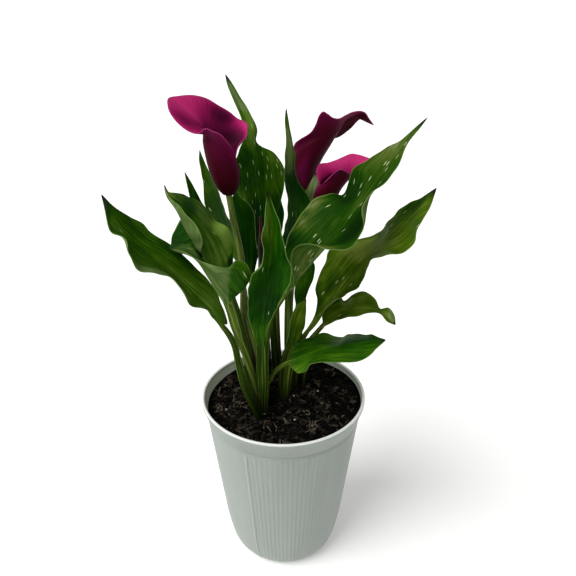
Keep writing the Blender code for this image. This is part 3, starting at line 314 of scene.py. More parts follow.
# %% Large leaves on the right
LEAVES.update(read_records("""
big_right: root -14 -8 broad 3 4 3.2 2.6 stalk -17 -10 193, -15 -11 214, -14 -13 233, -11 -14 254, -5 -15 269
  rib 2 -15 281, 12 -15 296, 23 -15 310, 32 -15 321, 44 -15 336, 59 -15 358, 72 -16 377, 83 -17 394, 92 -18 411,
  99 -19 419, 105 -20 426 left 1 -8 289, 1 -2 304, 3 0 319, 7 1 330, 12 1 340, 17 2 348, 25 4 356, 37 6 359, 47 4 359,
  51 2 366, 53 0 378, 57 -3 385, 65 -6 390, 77 -10 401, 89 -15 409, 98 -18 419 right 9 -22 290, 7 -28 307, 7 -32 323,
  13 -34 332, 24 -36 333, 36 -37 330, 47 -36 328, 56 -34 332, 62 -30 345, 60 -26 361, 68 -24 370, 80 -24 380,
  87 -22 394, 92 -20 407, 100 -20 418
right: root 9 18 broad 3.2 3.8 3.2 2.4 stalk 12 17 187, 13 16 202, 16 14 217 rib 21 13 227, 31 11 246, 42 8 263,
  53 5 283, 66 2 305, 82 -2 323, 100 -7 345, 110 -12 360, 118 -16 372 left 24 15 234, 29 14 247, 31 15 259, 29 16 269,
  30 16 279, 33 16 287, 38 16 298, 41 15 309, 51 14 315, 68 12 319, 81 10 324, 86 6 336, 96 0 350, 108 -8 361
  right 29 9 237, 41 3 261, 54 -2 274, 65 -5 282, 69 -8 296, 71 -12 309, 84 -17 315, 97 -20 320, 103 -21 328,
  107 -20 341, 113 -18 353
low_right: root 17 26 broad 3 3 2.4 2.1 stalk 20 18 186, 20 15 205, 24 11 220, 30 10 229 rib 36 10 237, 49 8 247,
  63 5 257, 75 1 260, 84 -3 257, 90 -6 255, 97 -8 247 left 35 14 244, 39 17 252, 45 18 258, 49 18 262, 54 18 257,
  61 16 264, 71 13 269, 79 7 265, 84 1 258, 91 -3 261, 96 -6 255 right 42 6 241, 54 1 248, 67 -3 254, 76 -6 258,
  83 -8 257, 89 -9 251
"""))
print("leaf records", len(LEAVES))

# %% Lower leaves on the right
LEAVES.update(read_records("""
bottom_right: root -14 1 broad 3 3.4 2.4 2.1 stalk -15 -2 180, -11 -7 193, -7 -10 202, -1 -13 209 rib 4 -15 214,
  17 -18 222, 33 -21 230, 51 -25 237, 69 -29 243, 85 -33 247 left 6 -10 218, 11 -4 224, 19 2 227, 35 4 231, 47 -1 230,
  53 -4 231, 57 -5 236, 68 -14 241, 78 -25 245 right 6 -19 212, 13 -24 209, 19 -28 213, 24 -31 223, 39 -37 227,
  55 -41 230, 67 -42 234, 77 -39 242
behind_right: root 2 10 broad 3.8 5.2 4.8 3.2 stalk 5 12 193, 9 12 220, 12 12 243 rib 14 12 256, 17 11 274, 20 10 291,
  21 9 308 left 10 10 270, 12 9 287, 15 9 299 right 20 14 263, 25 14 277, 27 12 294
sheath_right: root 1 0 broad 2.8 5.6 7.2 5.8 stalk 1 0 176, 2 0 194, 4 1 208 rib 7 1 220, 11 2 237, 15 3 251, 20 4 266
  left 4 0 230, 6 0 246, 11 2 259 right 13 3 224, 18 5 237, 20 5 251
"""))
print("leaf records", len(LEAVES))

# %% [markdown]
# ## Depth
# The records place each leaf near the plant's middle plane. The leaves of a living plant also lean to front and back,
# so each place is moved along the viewer's line of sight: the view from there keeps, and from the side the plant
# spreads. Nothing moves at the soil.

# %% Depth
DEPTH_SPREAD = 0.75
SPREAD_FROM, SPREAD_TO = 178.0, 330.0


def eased(share):
    """A share from 0 to 1 that starts and ends gently."""
    return share * share * (3 - 2 * share)


def spread_factor(places):
    """How much farther from the eye a place moves."""
    y, z = places[..., 1], places[..., 2]
    rise = eased(np.clip((z - SPREAD_FROM) / (SPREAD_TO - SPREAD_FROM), 0.0, 1.0))
    return (y * (1 + DEPTH_SPREAD * rise) - EYE[1]) / (y - EYE[1])


def from_eye(places, factor=None):
    """The places moved along their lines of sight, each by its own factor or all by the one given."""
    return EYE + (places - EYE) * (spread_factor(places)[:, None] if factor is None else factor)


for leaf in LEAVES.values():
    leaf.update({key: from_eye(rows) for key, rows in leaf.items() if rows.shape[1] == 3})
tips = [leaf["rib"][-1][1] for leaf in LEAVES.values()]
print("tips from front to back", round(min(tips)), round(max(tips)))

# %% [markdown]
# ## From lines to a leaf
# The blade is stretched between midrib and edges with a hollow on each side of the midrib, so that it cups as a living
# leaf does. The stalk broadens above its root like a sheath, narrows to a neck and flattens into the blade over a
# centimetre or two. The real margin is thin, so the sheet is only half a millimetre thick, with a ridge below for the
# midrib and a groove above it. Its edge ripples and rolls up a little, which catches the light.

# %% Stalk and blade
STALK_DEPTH, NECK_DEPTH = 2.3, 2.1
ROOT_HEIGHT = 149.0
HOLLOW = 0.5
EDGE_RIPPLE, EDGE_WAVE, EDGE_ROLL = 0.45, 0.9, 0.7
RIPPLE_TURN, WAVE_TURN = 0.42, 0.15  # radians a millimetre: ripples 15 mm long and waves 42 mm long
ENDS_CALM, FULL_WIDTH = 0.15, 12.0  # both fade out at the blade's ends and where it is narrow
STALK_ROWS, BLADE_ROWS = 26, 80
ALONG = np.linspace(0.0, 1.0, BLADE_ROWS)
HALF_WIDE = np.array([0.0, 0.04, 0.09, 0.16, 0.25, 0.35, 0.46, 0.57, 0.68, 0.78, 0.87, 0.94, 0.975, 0.993, 1.0])
WIDE = np.concatenate([-HALF_WIDE[:0:-1], HALF_WIDE])


def grid_normals(middle):
    return unit(np.cross(np.gradient(middle, axis=1), np.gradient(middle, axis=0)))


def stalk_frame(leaf):
    """Centre, sideways and upward directions along a leaf's stalk, from its root to the blade's foot."""
    rib = leaf["rib"]
    forward = unit(rib[1] - rib[0])
    side = leaf["right"][0] - leaf["left"][0]
    side = unit(side - forward * (side @ forward))
    places = [(*leaf["root"][0], ROOT_HEIGHT), *leaf["stalk"], rib[0]]
    centre = smooth_curve(places, np.linspace(0.0, 1.0, STALK_ROWS))
    travel = unit(np.gradient(centre, axis=0))
    travel[-1] = forward
    sides = np.zeros_like(centre)
    for i in reversed(range(STALK_ROWS)):
        sides[i] = side = unit(side - travel[i] * (side @ travel[i]))
    return centre, sides, unit(np.cross(sides, travel))


def blade_surface(leaf, rib, left, right, edge):
    """The blade's middle surface between its midrib and edges, with a folded edge where the record has one."""
    trough = ((left + right) / 2 - rib) * HOLLOW
    blade = np.zeros((BLADE_ROWS, len(WIDE), 3))
    for j, share in enumerate(WIDE):
        reach = abs(share)
        blade[:, j] = rib + reach * ((left if share < 0 else right) - rib) - reach * (1 - reach) * trough
    if "fold" in leaf:
        fold = edge(leaf["fold"], -1)
        for i in range(BLADE_ROWS):
            blade[i, WIDE <= 0] = smooth_curve([rib[i], left[i], fold[i]], -WIDE[WIDE <= 0][::-1])[::-1]
    return blade


def rippled(blade, length, half_width, number):
    """The blade with its small ripples, its longer waves and its rolled-up edge."""
    run = ALONG[:, None] * length
    ripple = EDGE_RIPPLE * np.sin(run * RIPPLE_TURN + number + 1.7 * np.sign(WIDE)) * np.abs(WIDE) ** 3
    wave = EDGE_WAVE * np.sin(run * WAVE_TURN + 2.1 * number + 2.6 * np.sign(WIDE)) * np.abs(WIDE) ** 2
    roll = EDGE_ROLL * np.abs(WIDE) ** 14
    calm = np.clip(np.minimum(ALONG, 1 - ALONG) / ENDS_CALM, 0, 1)[:, None] * np.clip(half_width / FULL_WIDTH, 0, 1)
    return blade + grid_normals(blade) * ((ripple + wave + roll) * calm)[..., None]


print("points across a blade", len(WIDE))

# %% Whole leaves
TIP_WIDTH = 0.5
HALF_BLADE = 0.28
RIDGE, GROOVE, RIB_WIDTH = 1.5, 0.35, 1.6
JOINT_SHARE = 0.12  # of the blade, in which the stalk's section becomes the blade's
STALK_SPAN = 5.0
SPAN_STEP = 400.0  # keeps one leaf's pattern from repeating on the next


def leaf_sheet(leaf, number):
    """Middle, upward direction, half thicknesses and notes of one leaf, stalk and blade together."""
    angles = np.radians(np.interp(WIDE, [-1.0, 0.0, 1.0], [180.0, 90.0, 0.0]))
    rows = np.linspace(0.0, 1.0, STALK_ROWS)
    centre, sides, ups = stalk_frame(leaf)
    wide = np.interp(rows, [0.0, 0.3, 0.7, 1.0], leaf["broad"][0])
    deep = np.interp(rows, [0.0, 0.6, 1.0], [STALK_DEPTH, STALK_DEPTH, NECK_DEPTH])
    stalk = centre[:, None] + sides[:, None] * (wide[:, None] * np.cos(angles))[..., None]
    stalk_half = deep[:, None] * np.sin(angles)
    stalk_up = np.repeat(ups[:, None], len(WIDE), axis=1)
    end_side = unit(leaf["right"][-1] - leaf["left"][-1])

    def edge(points, sign):
        start = leaf["rib"][0] + sign * sides[-1] * wide[-1]
        return smooth_curve([start, *points, leaf["rib"][-1] + sign * end_side * TIP_WIDTH / 2], ALONG)

    rib = smooth_curve(leaf["rib"], ALONG)
    left, right = edge(leaf["left"], -1), edge(leaf["right"], 1)
    length = np.linalg.norm(np.diff(rib, axis=0), axis=1).sum()
    half_width = np.linalg.norm(right - left, axis=1)[:, None] / 2
    blade = rippled(blade_surface(leaf, rib, left, right, edge), length, half_width, number)
    up = grid_normals(blade)
    near_rib = np.exp(-((np.abs(WIDE)[None] * half_width) / RIB_WIDTH) ** 2) * (1 - ALONG[:, None]) ** 1.2
    thin = HALF_BLADE * np.interp(ALONG, [0, 0.9, 1.0], [1.0, 1.0, 0.7])[:, None]
    settle = eased(np.clip(ALONG / JOINT_SHARE, 0.0, 1.0)[:, None])
    over, under = (np.concatenate([stalk_half[:-1], stalk_half[-1] * (1 - settle) + face * settle])
                   for face in (thin - GROOVE * near_rib, thin + (RIDGE + GROOVE) * near_rib))
    up = unit(stalk_up[-1] * (1 - settle[..., None]) + up * settle[..., None])
    blade[0] = stalk[-1]

    shares = np.concatenate([np.linspace(-1.0, 0.0, STALK_ROWS)[:-1], ALONG])
    stalk_run = -np.linalg.norm(np.diff(stalk[:, len(WIDE) // 2], axis=0), axis=1)[::-1].cumsum()[::-1]
    place = np.zeros((len(shares), len(WIDE), 2))
    place[..., 0] = WIDE
    place[..., 1] = shares[:, None]
    span = np.zeros_like(place)
    span[..., 0] = np.concatenate([np.full((STALK_ROWS - 1, 1), STALK_SPAN), half_width]) * WIDE
    span[..., 1] = np.concatenate([stalk_run, ALONG * length])[:, None] + SPAN_STEP * number
    return np.concatenate([stalk[:-1], blade]), np.concatenate([stalk_up[:-1], up]), over, under, place, span


leaf_pieces = {}
for number, (name, leaf) in enumerate(LEAVES.items()):
    leaf_pieces[name] = sleeve("leaf_" + name + "_blade", *two_faces(*leaf_sheet(leaf, number)))
print("leaves", len(leaf_pieces), "faces", sum(len(piece.data.polygons) for piece in leaf_pieces.values()))

# %% [markdown]
# ## Leaf finish
# A calla leaf is smooth and waxy, with a satin gloss. Fine veins leave the midrib at a small angle and run on towards
# the tip. The upper face is a deep green that turns yellower where it is thin, the underside is pale and matt, and the
# very edge lets light through as a pale line. Some leaves carry scattered white flecks, drawn out along the veins. The
# veins are about 2 mm apart, and are drawn a little wider than in life so that they show.

# %% Leaf finish
STREAK = (0.5, 0.035, 1.0)  # each pattern's repeats per millimetre, across and along: streaks 2 mm by 29 mm
CLOUD = (0.05, 0.03, 1.0)  # clouds 20 mm by 33 mm
FLECK = (0.42, 0.06, 0.0)  # cells of 2.4 mm by 17 mm, some of them with a fleck
STALK_STREAK = (1.3, 0.012, 1.0)  # streaks 0.8 mm by 83 mm
VEINS_ACROSS, VEINS_ALONG = 13.0, -8.0  # veins met on the way from midrib to edge, and from foot to tip
VEIN_BEND, VEIN_RELIEF = 1.5, 6.0
UPPER = [(0.12, "#041E01"), (0.28, "#0A3201"), (0.38, "#143C02")]
LOWER = [(0.14, "#1E3A0C"), (0.36, "#3A5420"), (0.64, "#6A8048"), (0.86, "#9CB078")]
STALK = [(0.36, "#152406"), (0.5, "#31480F"), (0.64, "#6C8032")]
PAINTED_SHADE_NEAR_SOIL = [(0.0, "#3C3C3C"), (0.45, "#A0A0A0"), (1.0, "#FFFFFF")]


def leaf_material(name, fleck_share, hue=0.5, light=("#264F04", "#42690C", "#7A983E")):
    """Waxy leaf blade with veins, pale underside, pale margin, dark tip and streaked stalk."""
    made, shader = new_material(name, IOR=1.45, Specular_IOR_Level=0.03)
    place, span = (add(made, "Attribute", attribute_name=note).outputs["Vector"] for note in ("place", "span"))
    turned, tone_and_painted_light = (add(made, "Attribute", attribute_name=note).outputs["Fac"] for note in ("turned", "tone"))
    across, along, side = add(made, "SeparateXYZ", place).outputs
    side = add(made, "Math", add(made, "Math", side, turned, operation="SUBTRACT"), operation="ABSOLUTE")
    out = add(made, "Math", across, operation="ABSOLUTE")
    off_rib = add(made, "Math", add(made, "SeparateXYZ", span), operation="ABSOLUTE")

    streak = add(made, "TexNoise", add(made, "Mapping", span, Scale=STREAK), Scale=1.0, Detail=4.0)
    cloud = add(made, "TexNoise", add(made, "Mapping", span, Scale=CLOUD), Scale=1.0, Detail=2.0)
    fan = add(made, "Math", out, VEINS_ACROSS, operation="MULTIPLY")
    lag = add(made, "Math", along, VEINS_ALONG, fan, operation="MULTIPLY_ADD")
    bent = add(made, "Math", cloud, VEIN_BEND, lag, operation="MULTIPLY_ADD")
    ridge = add(made, "Math", add(made, "Math", bent, math.tau, operation="MULTIPLY"), operation="SINE")
    vein = add(made, "MapRange", ridge, 0.4, 1.0, 0.0, 0.05, interpolation_type="SMOOTHSTEP")
    rib = add(made, "MapRange", off_rib, 0.4, 1.2, 0.09, 0.0, interpolation_type="SMOOTHSTEP")
    rib = add(made, "Math", rib, add(made, "MapRange", along, 0.1, 0.8, 1.0, 0.15), operation="MULTIPLY")
    tone = add(made, "Math", streak, cloud, operation="ADD")
    # each leaf's own tone, with its painted light and painted shade, from the note called tone
    tone = add(made, "Math", tone, 0.5, tone_and_painted_light, operation="MULTIPLY_ADD")
    for part in (vein, rib):
        tone = add(made, "Math", tone, part, operation="ADD")
    upper = add(made, "ValToRGB", tone, stops=[*UPPER, *zip((0.5, 0.64, 0.86), light)])
    lower = add(made, "ValToRGB", tone, stops=LOWER)

    spot = add(made, "TexVoronoi", add(made, "Mapping", span, Scale=FLECK), Scale=1.0, voronoi_dimensions="2D")
    chosen = add(made, "Math", add(made, "SeparateColor", spot.outputs["Color"]), fleck_share, operation="LESS_THAN")
    inside = add(made, "MapRange", spot, 0.09, 0.16, 0.75, 0.0)
    fleck = add(made, "Math", chosen, inside, operation="MULTIPLY")
    blade = add(made, "Mix", fleck, upper, "#C9D6A6", data_type="RGBA")
    blade = add(made, "Mix", side, blade, lower, data_type="RGBA")
    rim = add(made, "MapRange", out, 0.965, 0.99, 0.0, 0.5, interpolation_type="SMOOTHSTEP")
    blade = add(made, "Mix", rim, blade, "#6E8A48", data_type="RGBA")
    blade = add(made, "Mix", add(made, "MapRange", along, 0.94, 0.985), blade, "#17160A", data_type="RGBA")

    stripe = add(made, "TexNoise", add(made, "Mapping", span, Scale=STALK_STREAK), Scale=1.0, Detail=3.0)
    stripe = add(made, "Math", stripe, tone_and_painted_light, operation="ADD")
    stalk = add(made, "ValToRGB", stripe, stops=STALK)
    # the stalk is painted darker towards the soil: painted shade where the stalks crowd at the crown
    shade = add(made, "ValToRGB", add(made, "MapRange", along, -0.95, -0.45), stops=PAINTED_SHADE_NEAR_SOIL)
    stalk = add(made, "Mix", 1.0, stalk, shade, data_type="RGBA", blend_type="MULTIPLY")
    joint = add(made, "MapRange", along, -0.05, 0.12, 1.0, 0.0, interpolation_type="SMOOTHSTEP")
    whole = add(made, "Mix", joint, blade, stalk, data_type="RGBA")
    relief = add(made, "Math", vein, VEIN_RELIEF, streak, operation="MULTIPLY_ADD")
    relief = add(made, "Math", joint, stripe, relief, operation="MULTIPLY_ADD")
    fill(shader, Base_Color=add(made, "HueSaturation", Color=whole, Hue=hue),
         Roughness=add(made, "MapRange", side, To_Min=0.45, To_Max=0.62),
         Normal=add(made, "Bump", Height=relief, Strength=0.25, Distance=0.0006))
    return made


plain_leaf = leaf_material("waxy_calla_leaf_plain", 0.01)
flecked_leaf = leaf_material("waxy_calla_leaf_flecked", 0.2)
olive_leaf = leaf_material("waxy_calla_leaf_olive", 0.07, 0.485, ("#284E05", "#45670D", "#7B963E"))
olive_flecked_leaf = leaf_material("waxy_calla_leaf_olive_flecked", 0.22, 0.49, ("#2C4A0C", "#4A5C22", "#88946A"))
print("leaf materials", plain_leaf.name, flecked_leaf.name, olive_leaf.name, olive_flecked_leaf.name)

# %% [markdown]
# ## Each leaf's own tones and painted light
# No two leaves are alike: old ones are darker, and a blade is lighter where it is thin or young. So each leaf
# gets two tones, for blade and stalk, that move it up or down the ramp of greens. The blade's tone also holds
# painted light: a leaf that faces the window is made lighter, one that others shade darker. The oval patches called
# light do the same in one place: painted highlights where a blade faces the light, painted shade where it lies under
# another leaf or turns away. Patches called turned mark where a strip of the blade is turned over and shows its pale
# side. Their numbers are side, across, along, size across, size along and strength, all in hundredths.
# Side 0 is the upper face and 100 the lower, across runs from -100 to 100 between the edges, along from 0 at the foot
# to 100 at the tip.

# %% Each leaf's own tones and painted light
SKINS = {"tall_back": flecked_leaf, "big_right": olive_flecked_leaf,
         **dict.fromkeys(("right", "low_right", "sheath_right", "left_tall"), olive_leaf)}
TONE_JOINT, SHARP, SOFT = 0.1, 6.0, 1.0
LOOKS = read_records("""
far_left: tones 2 -3 light 0 0 31 150 27 12, 0 -10 80 50 10 14, 0 20 92 120 7 -14, 0 95 48 40 15 -20,
  0 20 12 130 13 10, 0 0 50 60 10 6 turned 0 -105 47 42 20 100, 0 -105 14 40 10 100
upper_left: tones 8 0 light 0 30 34 120 17 6, 0 85 38 50 13 26, 0 10 26 90 10 8, 0 40 72 90 9 -18, 0 0 93 180 8 20,
  0 85 14 50 8 -40, 0 -90 55 35 12 16
trumpet: tones 0 6 light 0 70 68 90 30 -20, 0 -60 100 160 12 12, 100 -60 100 160 12 12, 100 -90 25 60 22 -8,
  100 40 60 50 12 -14, 100 0 30 70 20 -5, 100 -85 65 40 10 8, 100 90 66 35 10 14 turned 100 -110 20 75 28 100,
  0 10 85 60 30 90
left_back: tones -10 0
left_tall: tones -2 0 light 0 0 50 180 20 -26, 0 20 92 120 6 -8
tall_back: tones 0 0 light 0 -20 17 180 22 -36, 0 75 48 50 15 13, 0 0 78 180 15 20, 0 -95 40 40 10 16,
  0 -50 58 50 6 -14 turned 0 20 93 160 13 80
left_inner: tones -19 0 light 0 0 93 140 22 18
front: tones -7 -3 light 0 10 36 150 20 -17, 0 -40 90 90 17 30, 0 90 76 60 14 -12, 0 -95 60 50 15 10
narrow_tall: tones -20 0 light 0 0 82 180 26 24 turned 0 -40 76 120 15 90
small_pale: tones 0 0 light 0 0 90 180 16 26, 0 0 20 180 22 -24 turned 0 0 50 200 200 100
folded_back: tones -23 0
big_right: tones -6 0 light 0 -90 22 40 9 -30, 0 -30 36 50 12 -10, 0 -85 56 60 11 -25, 0 55 50 55 13 -42,
  0 -60 84 80 15 15, 0 95 42 35 16 12, 0 -40 25 40 8 -12, 0 -95 29 20 5 22, 0 -97 40 20 6 25, 0 -50 50 50 8 -14,
  100 75 22 70 22 8 turned 100 75 20 60 20 100
right: tones 9 0 light 0 -50 53 80 10 24, 0 -95 12 60 15 -20, 0 -40 30 40 8 -18, 0 -50 89 70 12 -26,
  0 100 43 40 10 -22, 0 10 57 130 10 12 turned 0 105 57 30 12 100
low_right: tones 10 0 light 0 -50 35 50 10 10, 0 -50 62 50 10 -10, 0 0 83 120 8 10 turned 0 -75 36 30 8 80,
  0 -50 93 120 8 80
bottom_right: tones -2 4 light 0 0 80 130 26 -14, 0 90 12 60 14 10
behind_right: tones -3 0
sheath_right: tones 6 0 light 0 30 62 90 22 13, 0 0 8 180 14 -18
""")


def in_patches(place, patches, sharpness):
    """The summed strength of the patches at each point of a leaf, sharp-edged or soft."""
    strength = np.zeros(len(place))
    for side, across, along, across_size, along_size, height in patches:
        away = ((place[:, 0] - across) / across_size) ** 2 + ((place[:, 1] - along) / along_size) ** 2
        strength += height * np.clip((1.0 - away) * sharpness, 0.0, 1.0) * (np.abs(place[:, 2] - side) < 0.6)
    return strength


for name, piece in leaf_pieces.items():
    look = {key: (rows / 100).tolist() for key, rows in LOOKS[name].items()}
    place = np.zeros(3 * len(piece.data.vertices), np.float32)
    piece.data.attributes["place"].data.foreach_get("vector", place)
    place = place.reshape(-1, 3)
    blade_tone, stalk_tone = look["tones"][0]
    joint = np.clip(place[:, 1] / TONE_JOINT + 0.5, 0.0, 1.0)
    # the light patches add painted highlights and painted shade to the blade's tone
    blade = blade_tone + in_patches(place, look.get("light", []), SOFT)
    turned = np.clip(in_patches(place, look.get("turned", []), SHARP), 0.0, 1.0)
    for note, values in (("turned", turned), ("tone", joint * blade + (1.0 - joint) * stalk_tone)):
        piece.data.attributes.new(note, "FLOAT", "POINT").data.foreach_set("value", values.astype(np.float32))
    dress(piece, SKINS.get(name, plain_leaf), "leaf", "leaf_" + name)
print("leaf tones set on", len(leaf_pieces), "leaves")

# %% [markdown]
# ## The flowers' lines
# A calla flower is one large petal, the spathe, rolled into a funnel with its edges overlapping and its lip drawn out
# into a tongue. Each record gives the stem, which way the tongue points, the funnel as rings (x, y, z, radius, lean)
# and the rim as (angle, how far up the funnel that part follows it, x, y, z). Angle 0 is the tongue. The rim's inner
# and outer ends lie in the roll, so they have an angle and a height only.

# %% Flower records
FLOWERS = read_records("""
left: root -21 3 stem -25 3 187, -29 3 213, -33 3 233, -35 3 256, -34 3 281, -34 3 299, -36 3 317, -40 2 340
  tongue -1 0 0 rings -42.9 0 362.8 3.5 0, -43.4 0 366.5 6.3 0, -44.6 0 373.8 9 0, -45.8 0 381.8 10.2 0,
  -47.2 0 389 10.6 0, -48.5 0 397.5 10.3 0, -49.9 0 406 10 0, -50.3 0 414.3 9.7 0 inner -200 19, -182 24 outer 165 20,
  182 14, 200 8 rim -165 29 -33 2 402, -150 31 -28 6 406, -130 34 -27 12 412, -112 39 -28 16 415, -95 43 -35 18 418,
  -78 45 -41 18 423, -60 48 -49 17 428, -44 50 -58 14 434, -28 52 -68 10 437, -14 52 -78 6 437, 0 52 -85 2 436,
  12 52 -85 -3 431, 24 52 -83 -7 427, 36 52 -79 -10 422, 48 52 -74 -13 418, 60 50 -68 -16 415, 72 48 -62 -17 414,
  84 46 -56 -18 418, 98 43 -51 -18 416, 112 39 -46 -18 414, 128 34 -41 -16 408, 145 28 -37 -11 400
right: root 5 40 stem 6 39 194, 7 38 248, 12 38 298, 17 38 331 tongue 1 0 0 rings 19.5 38 355.6 3.5 0,
  19.3 38 359.2 5.5 0, 19.2 38 366.6 7.2 0, 19.7 38 375.2 9.5 5, 21.8 38 383.6 10.9 10, 25.2 38 392 11.4 22,
  30.8 38 399.4 10.5 38, 38.8 38 409.3 9 52, 50.1 38 418.5 4.6 62, 61.3 38 419.5 2.6 65 inner -200 21, -180 25
  outer 184 20, 200 12 rim -150 30 16 47 394, -135 31 20 50 397, -120 32 24 51 399, -105 33 28 51 400,
  -90 34 33 51 399, -75 36 38 51 397, -60 38 44 50 395, -52 44 49 49 397, -44 50 54 48 401, -36 57 58 46 405,
  -28 62 61 45 409, -20 70 64.5 42 413, -10 74 67.4 39.4 416, -5 75 69.8 38.7 413.4, 0 76 75 38 408,
  5 75 70.2 38.1 414.2, 10 74 67.8 37.2 417.8, 22 74 64 35 420, 36 72 56 31 420, 48 68 50 28 418, 60 64 45 26 416,
  72 60 40 25 417, 84 56 36 24 420, 96 52 32 24 422, 108 48 29 23 419, 120 44 27 23 413, 130 40 24 24 407,
  142 36 20 26 403, 156 32 14 28 399, 170 28 10 33 394
low: root 15 40 stem 14 41 204, 15 41 223, 18 40 241, 20 38 258, 23 34 278, 26 28 303, 30 22 325 tongue 1 0 0
  rings 32.3 18 344.2 3.5 0, 32.8 18 347.3 5 5, 34.2 18 352 7.2 12, 36.6 18 358 8.1 20, 39.3 18 364.4 8.4 28,
  43 18 370.3 8.5 38, 48.2 18 375.2 7.8 50 inner -200 12, -184 15 outer 165 13, 182 9, 200 4 rim -168 18 29 20 368,
  -155 20 28 22 372, -140 22 28 24 376, -124 26 31 28 379, -108 29 37 31 379, -90 32 44 32 381, -74 34 50 31 384,
  -58 36 56 29 387, -42 37 62 26 387, -28 37 68 22 386, -14 37 72 18 385, 0 37 74 14 382, 16 37 68 10 379,
  34 37 61 7 377, 52 37 54 5 377, 70 36 49 4 380, 88 33 45 4 381, 105 28 41 5 378, 125 23 37 7 373, 145 18 33 10 368
""")

# %% Bud record, and the depth of the flowers
BUD = read_records("""
bud: root -12 21 stem -16 17 185, -16 15 229, -17 12 266, -17 10 288 line -18 9 296, -18 9 311, -18 9 326, -19 9 341
  radii 1.8 2.8 2.5 1.4 0.6
""")["bud"]


def spread_flower(rings, rim, stem, **rest):
    """The record with its depth spread. Funnel and rim keep their form, so they move as one."""
    factor = spread_factor(rings[len(rings) // 2])
    rings = np.column_stack([from_eye(rings[:, :3], factor), rings[:, 3] * factor, rings[:, 4]])
    rim = np.column_stack([rim[:, 0], rim[:, 1] * factor, from_eye(rim[:, 2:], factor)])
    return {**rest, "rings": rings, "rim": rim, "stem": from_eye(stem)}


FLOWERS = {name: spread_flower(**flower) for name, flower in FLOWERS.items()}
BUD.update({key: from_eye(BUD[key]) for key in ("line", "stem")})
print("funnel mouths at", {name: [round(x) for x in flower["rings"][-1][:3]] for name, flower in FLOWERS.items()})

# %% [markdown]
# ## Rolled petals
# Each line up the petal follows the funnel as far as its record says and then turns out to its own place on the rim, so
# the lip flares and rolls back as a real one does. The outer end wraps over the inner end in a slow spiral, which keeps
# the two layers apart. Patches (angle, height share, their sizes, strength) paint light and shade on the petal: painted
# highlights where it faces the light, painted shade in the throat and where it turns away or lies in shadow.

# %% Rolled petals
OVERLAP_STEP = 1.7
ROLL_ANGLE = 200.0
ROLL_RISE = 4.0
FUNNEL_STEPS = 80
PETAL_HALF = 0.35
PETAL_COLUMNS, PETAL_ROWS = 121, 57
LIP_SHARES = 1 - np.array([0.07, 0.045, 0.025, 0.01, 0.003, 0])
PAINTED_PETAL_LIGHT = read_records("""
left: light -72 0.92 24 0.1 -0.5, -108 0.74 36 0.12 -0.35, -150 0.85 28 0.14 -0.4, 34 0.9 26 0.12 -0.28,
  -8 0.75 14 0.2 0.2, -120 0.97 22 0.05 0.15
right: light 108 0.3 26 0.2 0.5, 60 0.8 30 0.2 -0.2, -45 0.95 36 0.2 -0.8, 0 1 16 0.14 -0.9, 90 0.75 60 0.3 -0.2,
  95 0.1 45 0.22 0.5
low: light -40 0.9 60 0.2 0.1, 60 0.9 40 0.2 -0.3, 140 0.8 30 0.3 0.2, 90 0.6 60 0.4 -0.35
""")


def tube_place(flower, height, angle):
    """The point on a flower's funnel at a height along it and an angle round it."""
    tall = travelled(flower["rings"][:, :3])[-1]
    fine = smooth_curve(flower["rings"], np.linspace(0.0, 1.0, FUNNEL_STEPS))
    x, y, z, radius, lean = (np.interp(height, np.linspace(0.0, tall, FUNNEL_STEPS), column) for column in fine.T)
    lean, turn = math.radians(lean), math.radians(angle)
    towards = flower["tongue"][0] * math.cos(lean) - np.array([0.0, 0.0, math.sin(lean)])
    outward = towards * math.cos(turn) - np.array([0.0, math.sin(turn), 0.0])
    spiral = OVERLAP_STEP * (angle + ROLL_ANGLE) / (2 * ROLL_ANGLE)
    return np.array([x, y, z]) + outward * (radius + spiral)


def petal_sheet(flower, patches):
    """Middle surface of a spathe, its direction, half thicknesses and notes."""
    inner, outer = ([(*tube_place(flower, height + ROLL_RISE, angle), angle, height) for angle, height in flower[end]]
                    for end in ("inner", "outer"))
    rim = inner + [(x, y, z, angle, height) for angle, height, x, y, z in flower["rim"]] + outer
    rim = smooth_curve(rim, np.linspace(0.0, 1.0, PETAL_COLUMNS))
    middle = np.zeros((PETAL_ROWS, PETAL_COLUMNS, 3))
    share = np.concatenate([np.linspace(0.0, 0.9, PETAL_ROWS - len(LIP_SHARES)), LIP_SHARES])
    for j, (x, y, z, angle, height) in enumerate(rim):
        line = [tube_place(flower, height * part, angle) for part in (0.0, 0.08, 0.2, 0.4, 0.6, 0.8, 1.0)]
        middle[:, j] = smooth_curve([*line, (x, y, z)], share)
    place = np.zeros((*middle.shape[:2], 2))
    place[..., 0] = rim[:, 3] / ROLL_ANGLE
    place[..., 1] = share[:, None]
    tone = np.zeros_like(place)
    # painted light and painted shade from the patches, carried to the material in the span note
    for angle, height, angle_size, height_size, strength in patches:
        away = ((rim[None, :, 3] - angle) / angle_size) ** 2 + ((share[:, None] - height) / height_size) ** 2
        tone[..., 0] += strength * np.exp(-away)
    up = grid_normals(middle)
    ring = middle[PETAL_ROWS // 4]
    if (up[PETAL_ROWS // 4] * (ring - ring.mean(axis=0))).sum() < 0:
        up = -up
    half = np.full(middle.shape[:2], PETAL_HALF)
    return middle, up, half, half, place, tone


petals = {}
for name, flower in FLOWERS.items():
    petals[name] = sleeve("spathe_" + name + "_petal", *two_faces(*petal_sheet(flower, PAINTED_PETAL_LIGHT[name]["light"])))
print("petals", {name: len(piece.data.polygons) for name, piece in petals.items()})

# %% [markdown]
# ## Stems, spikes and the bud
# These are round rods. A rod is a sleeve whose rings are circles, drawn in to a point at both ends. The spike inside a
# flower, the spadix, is set all over with tiny knobs, and the bud is a tight roll of dark petal.

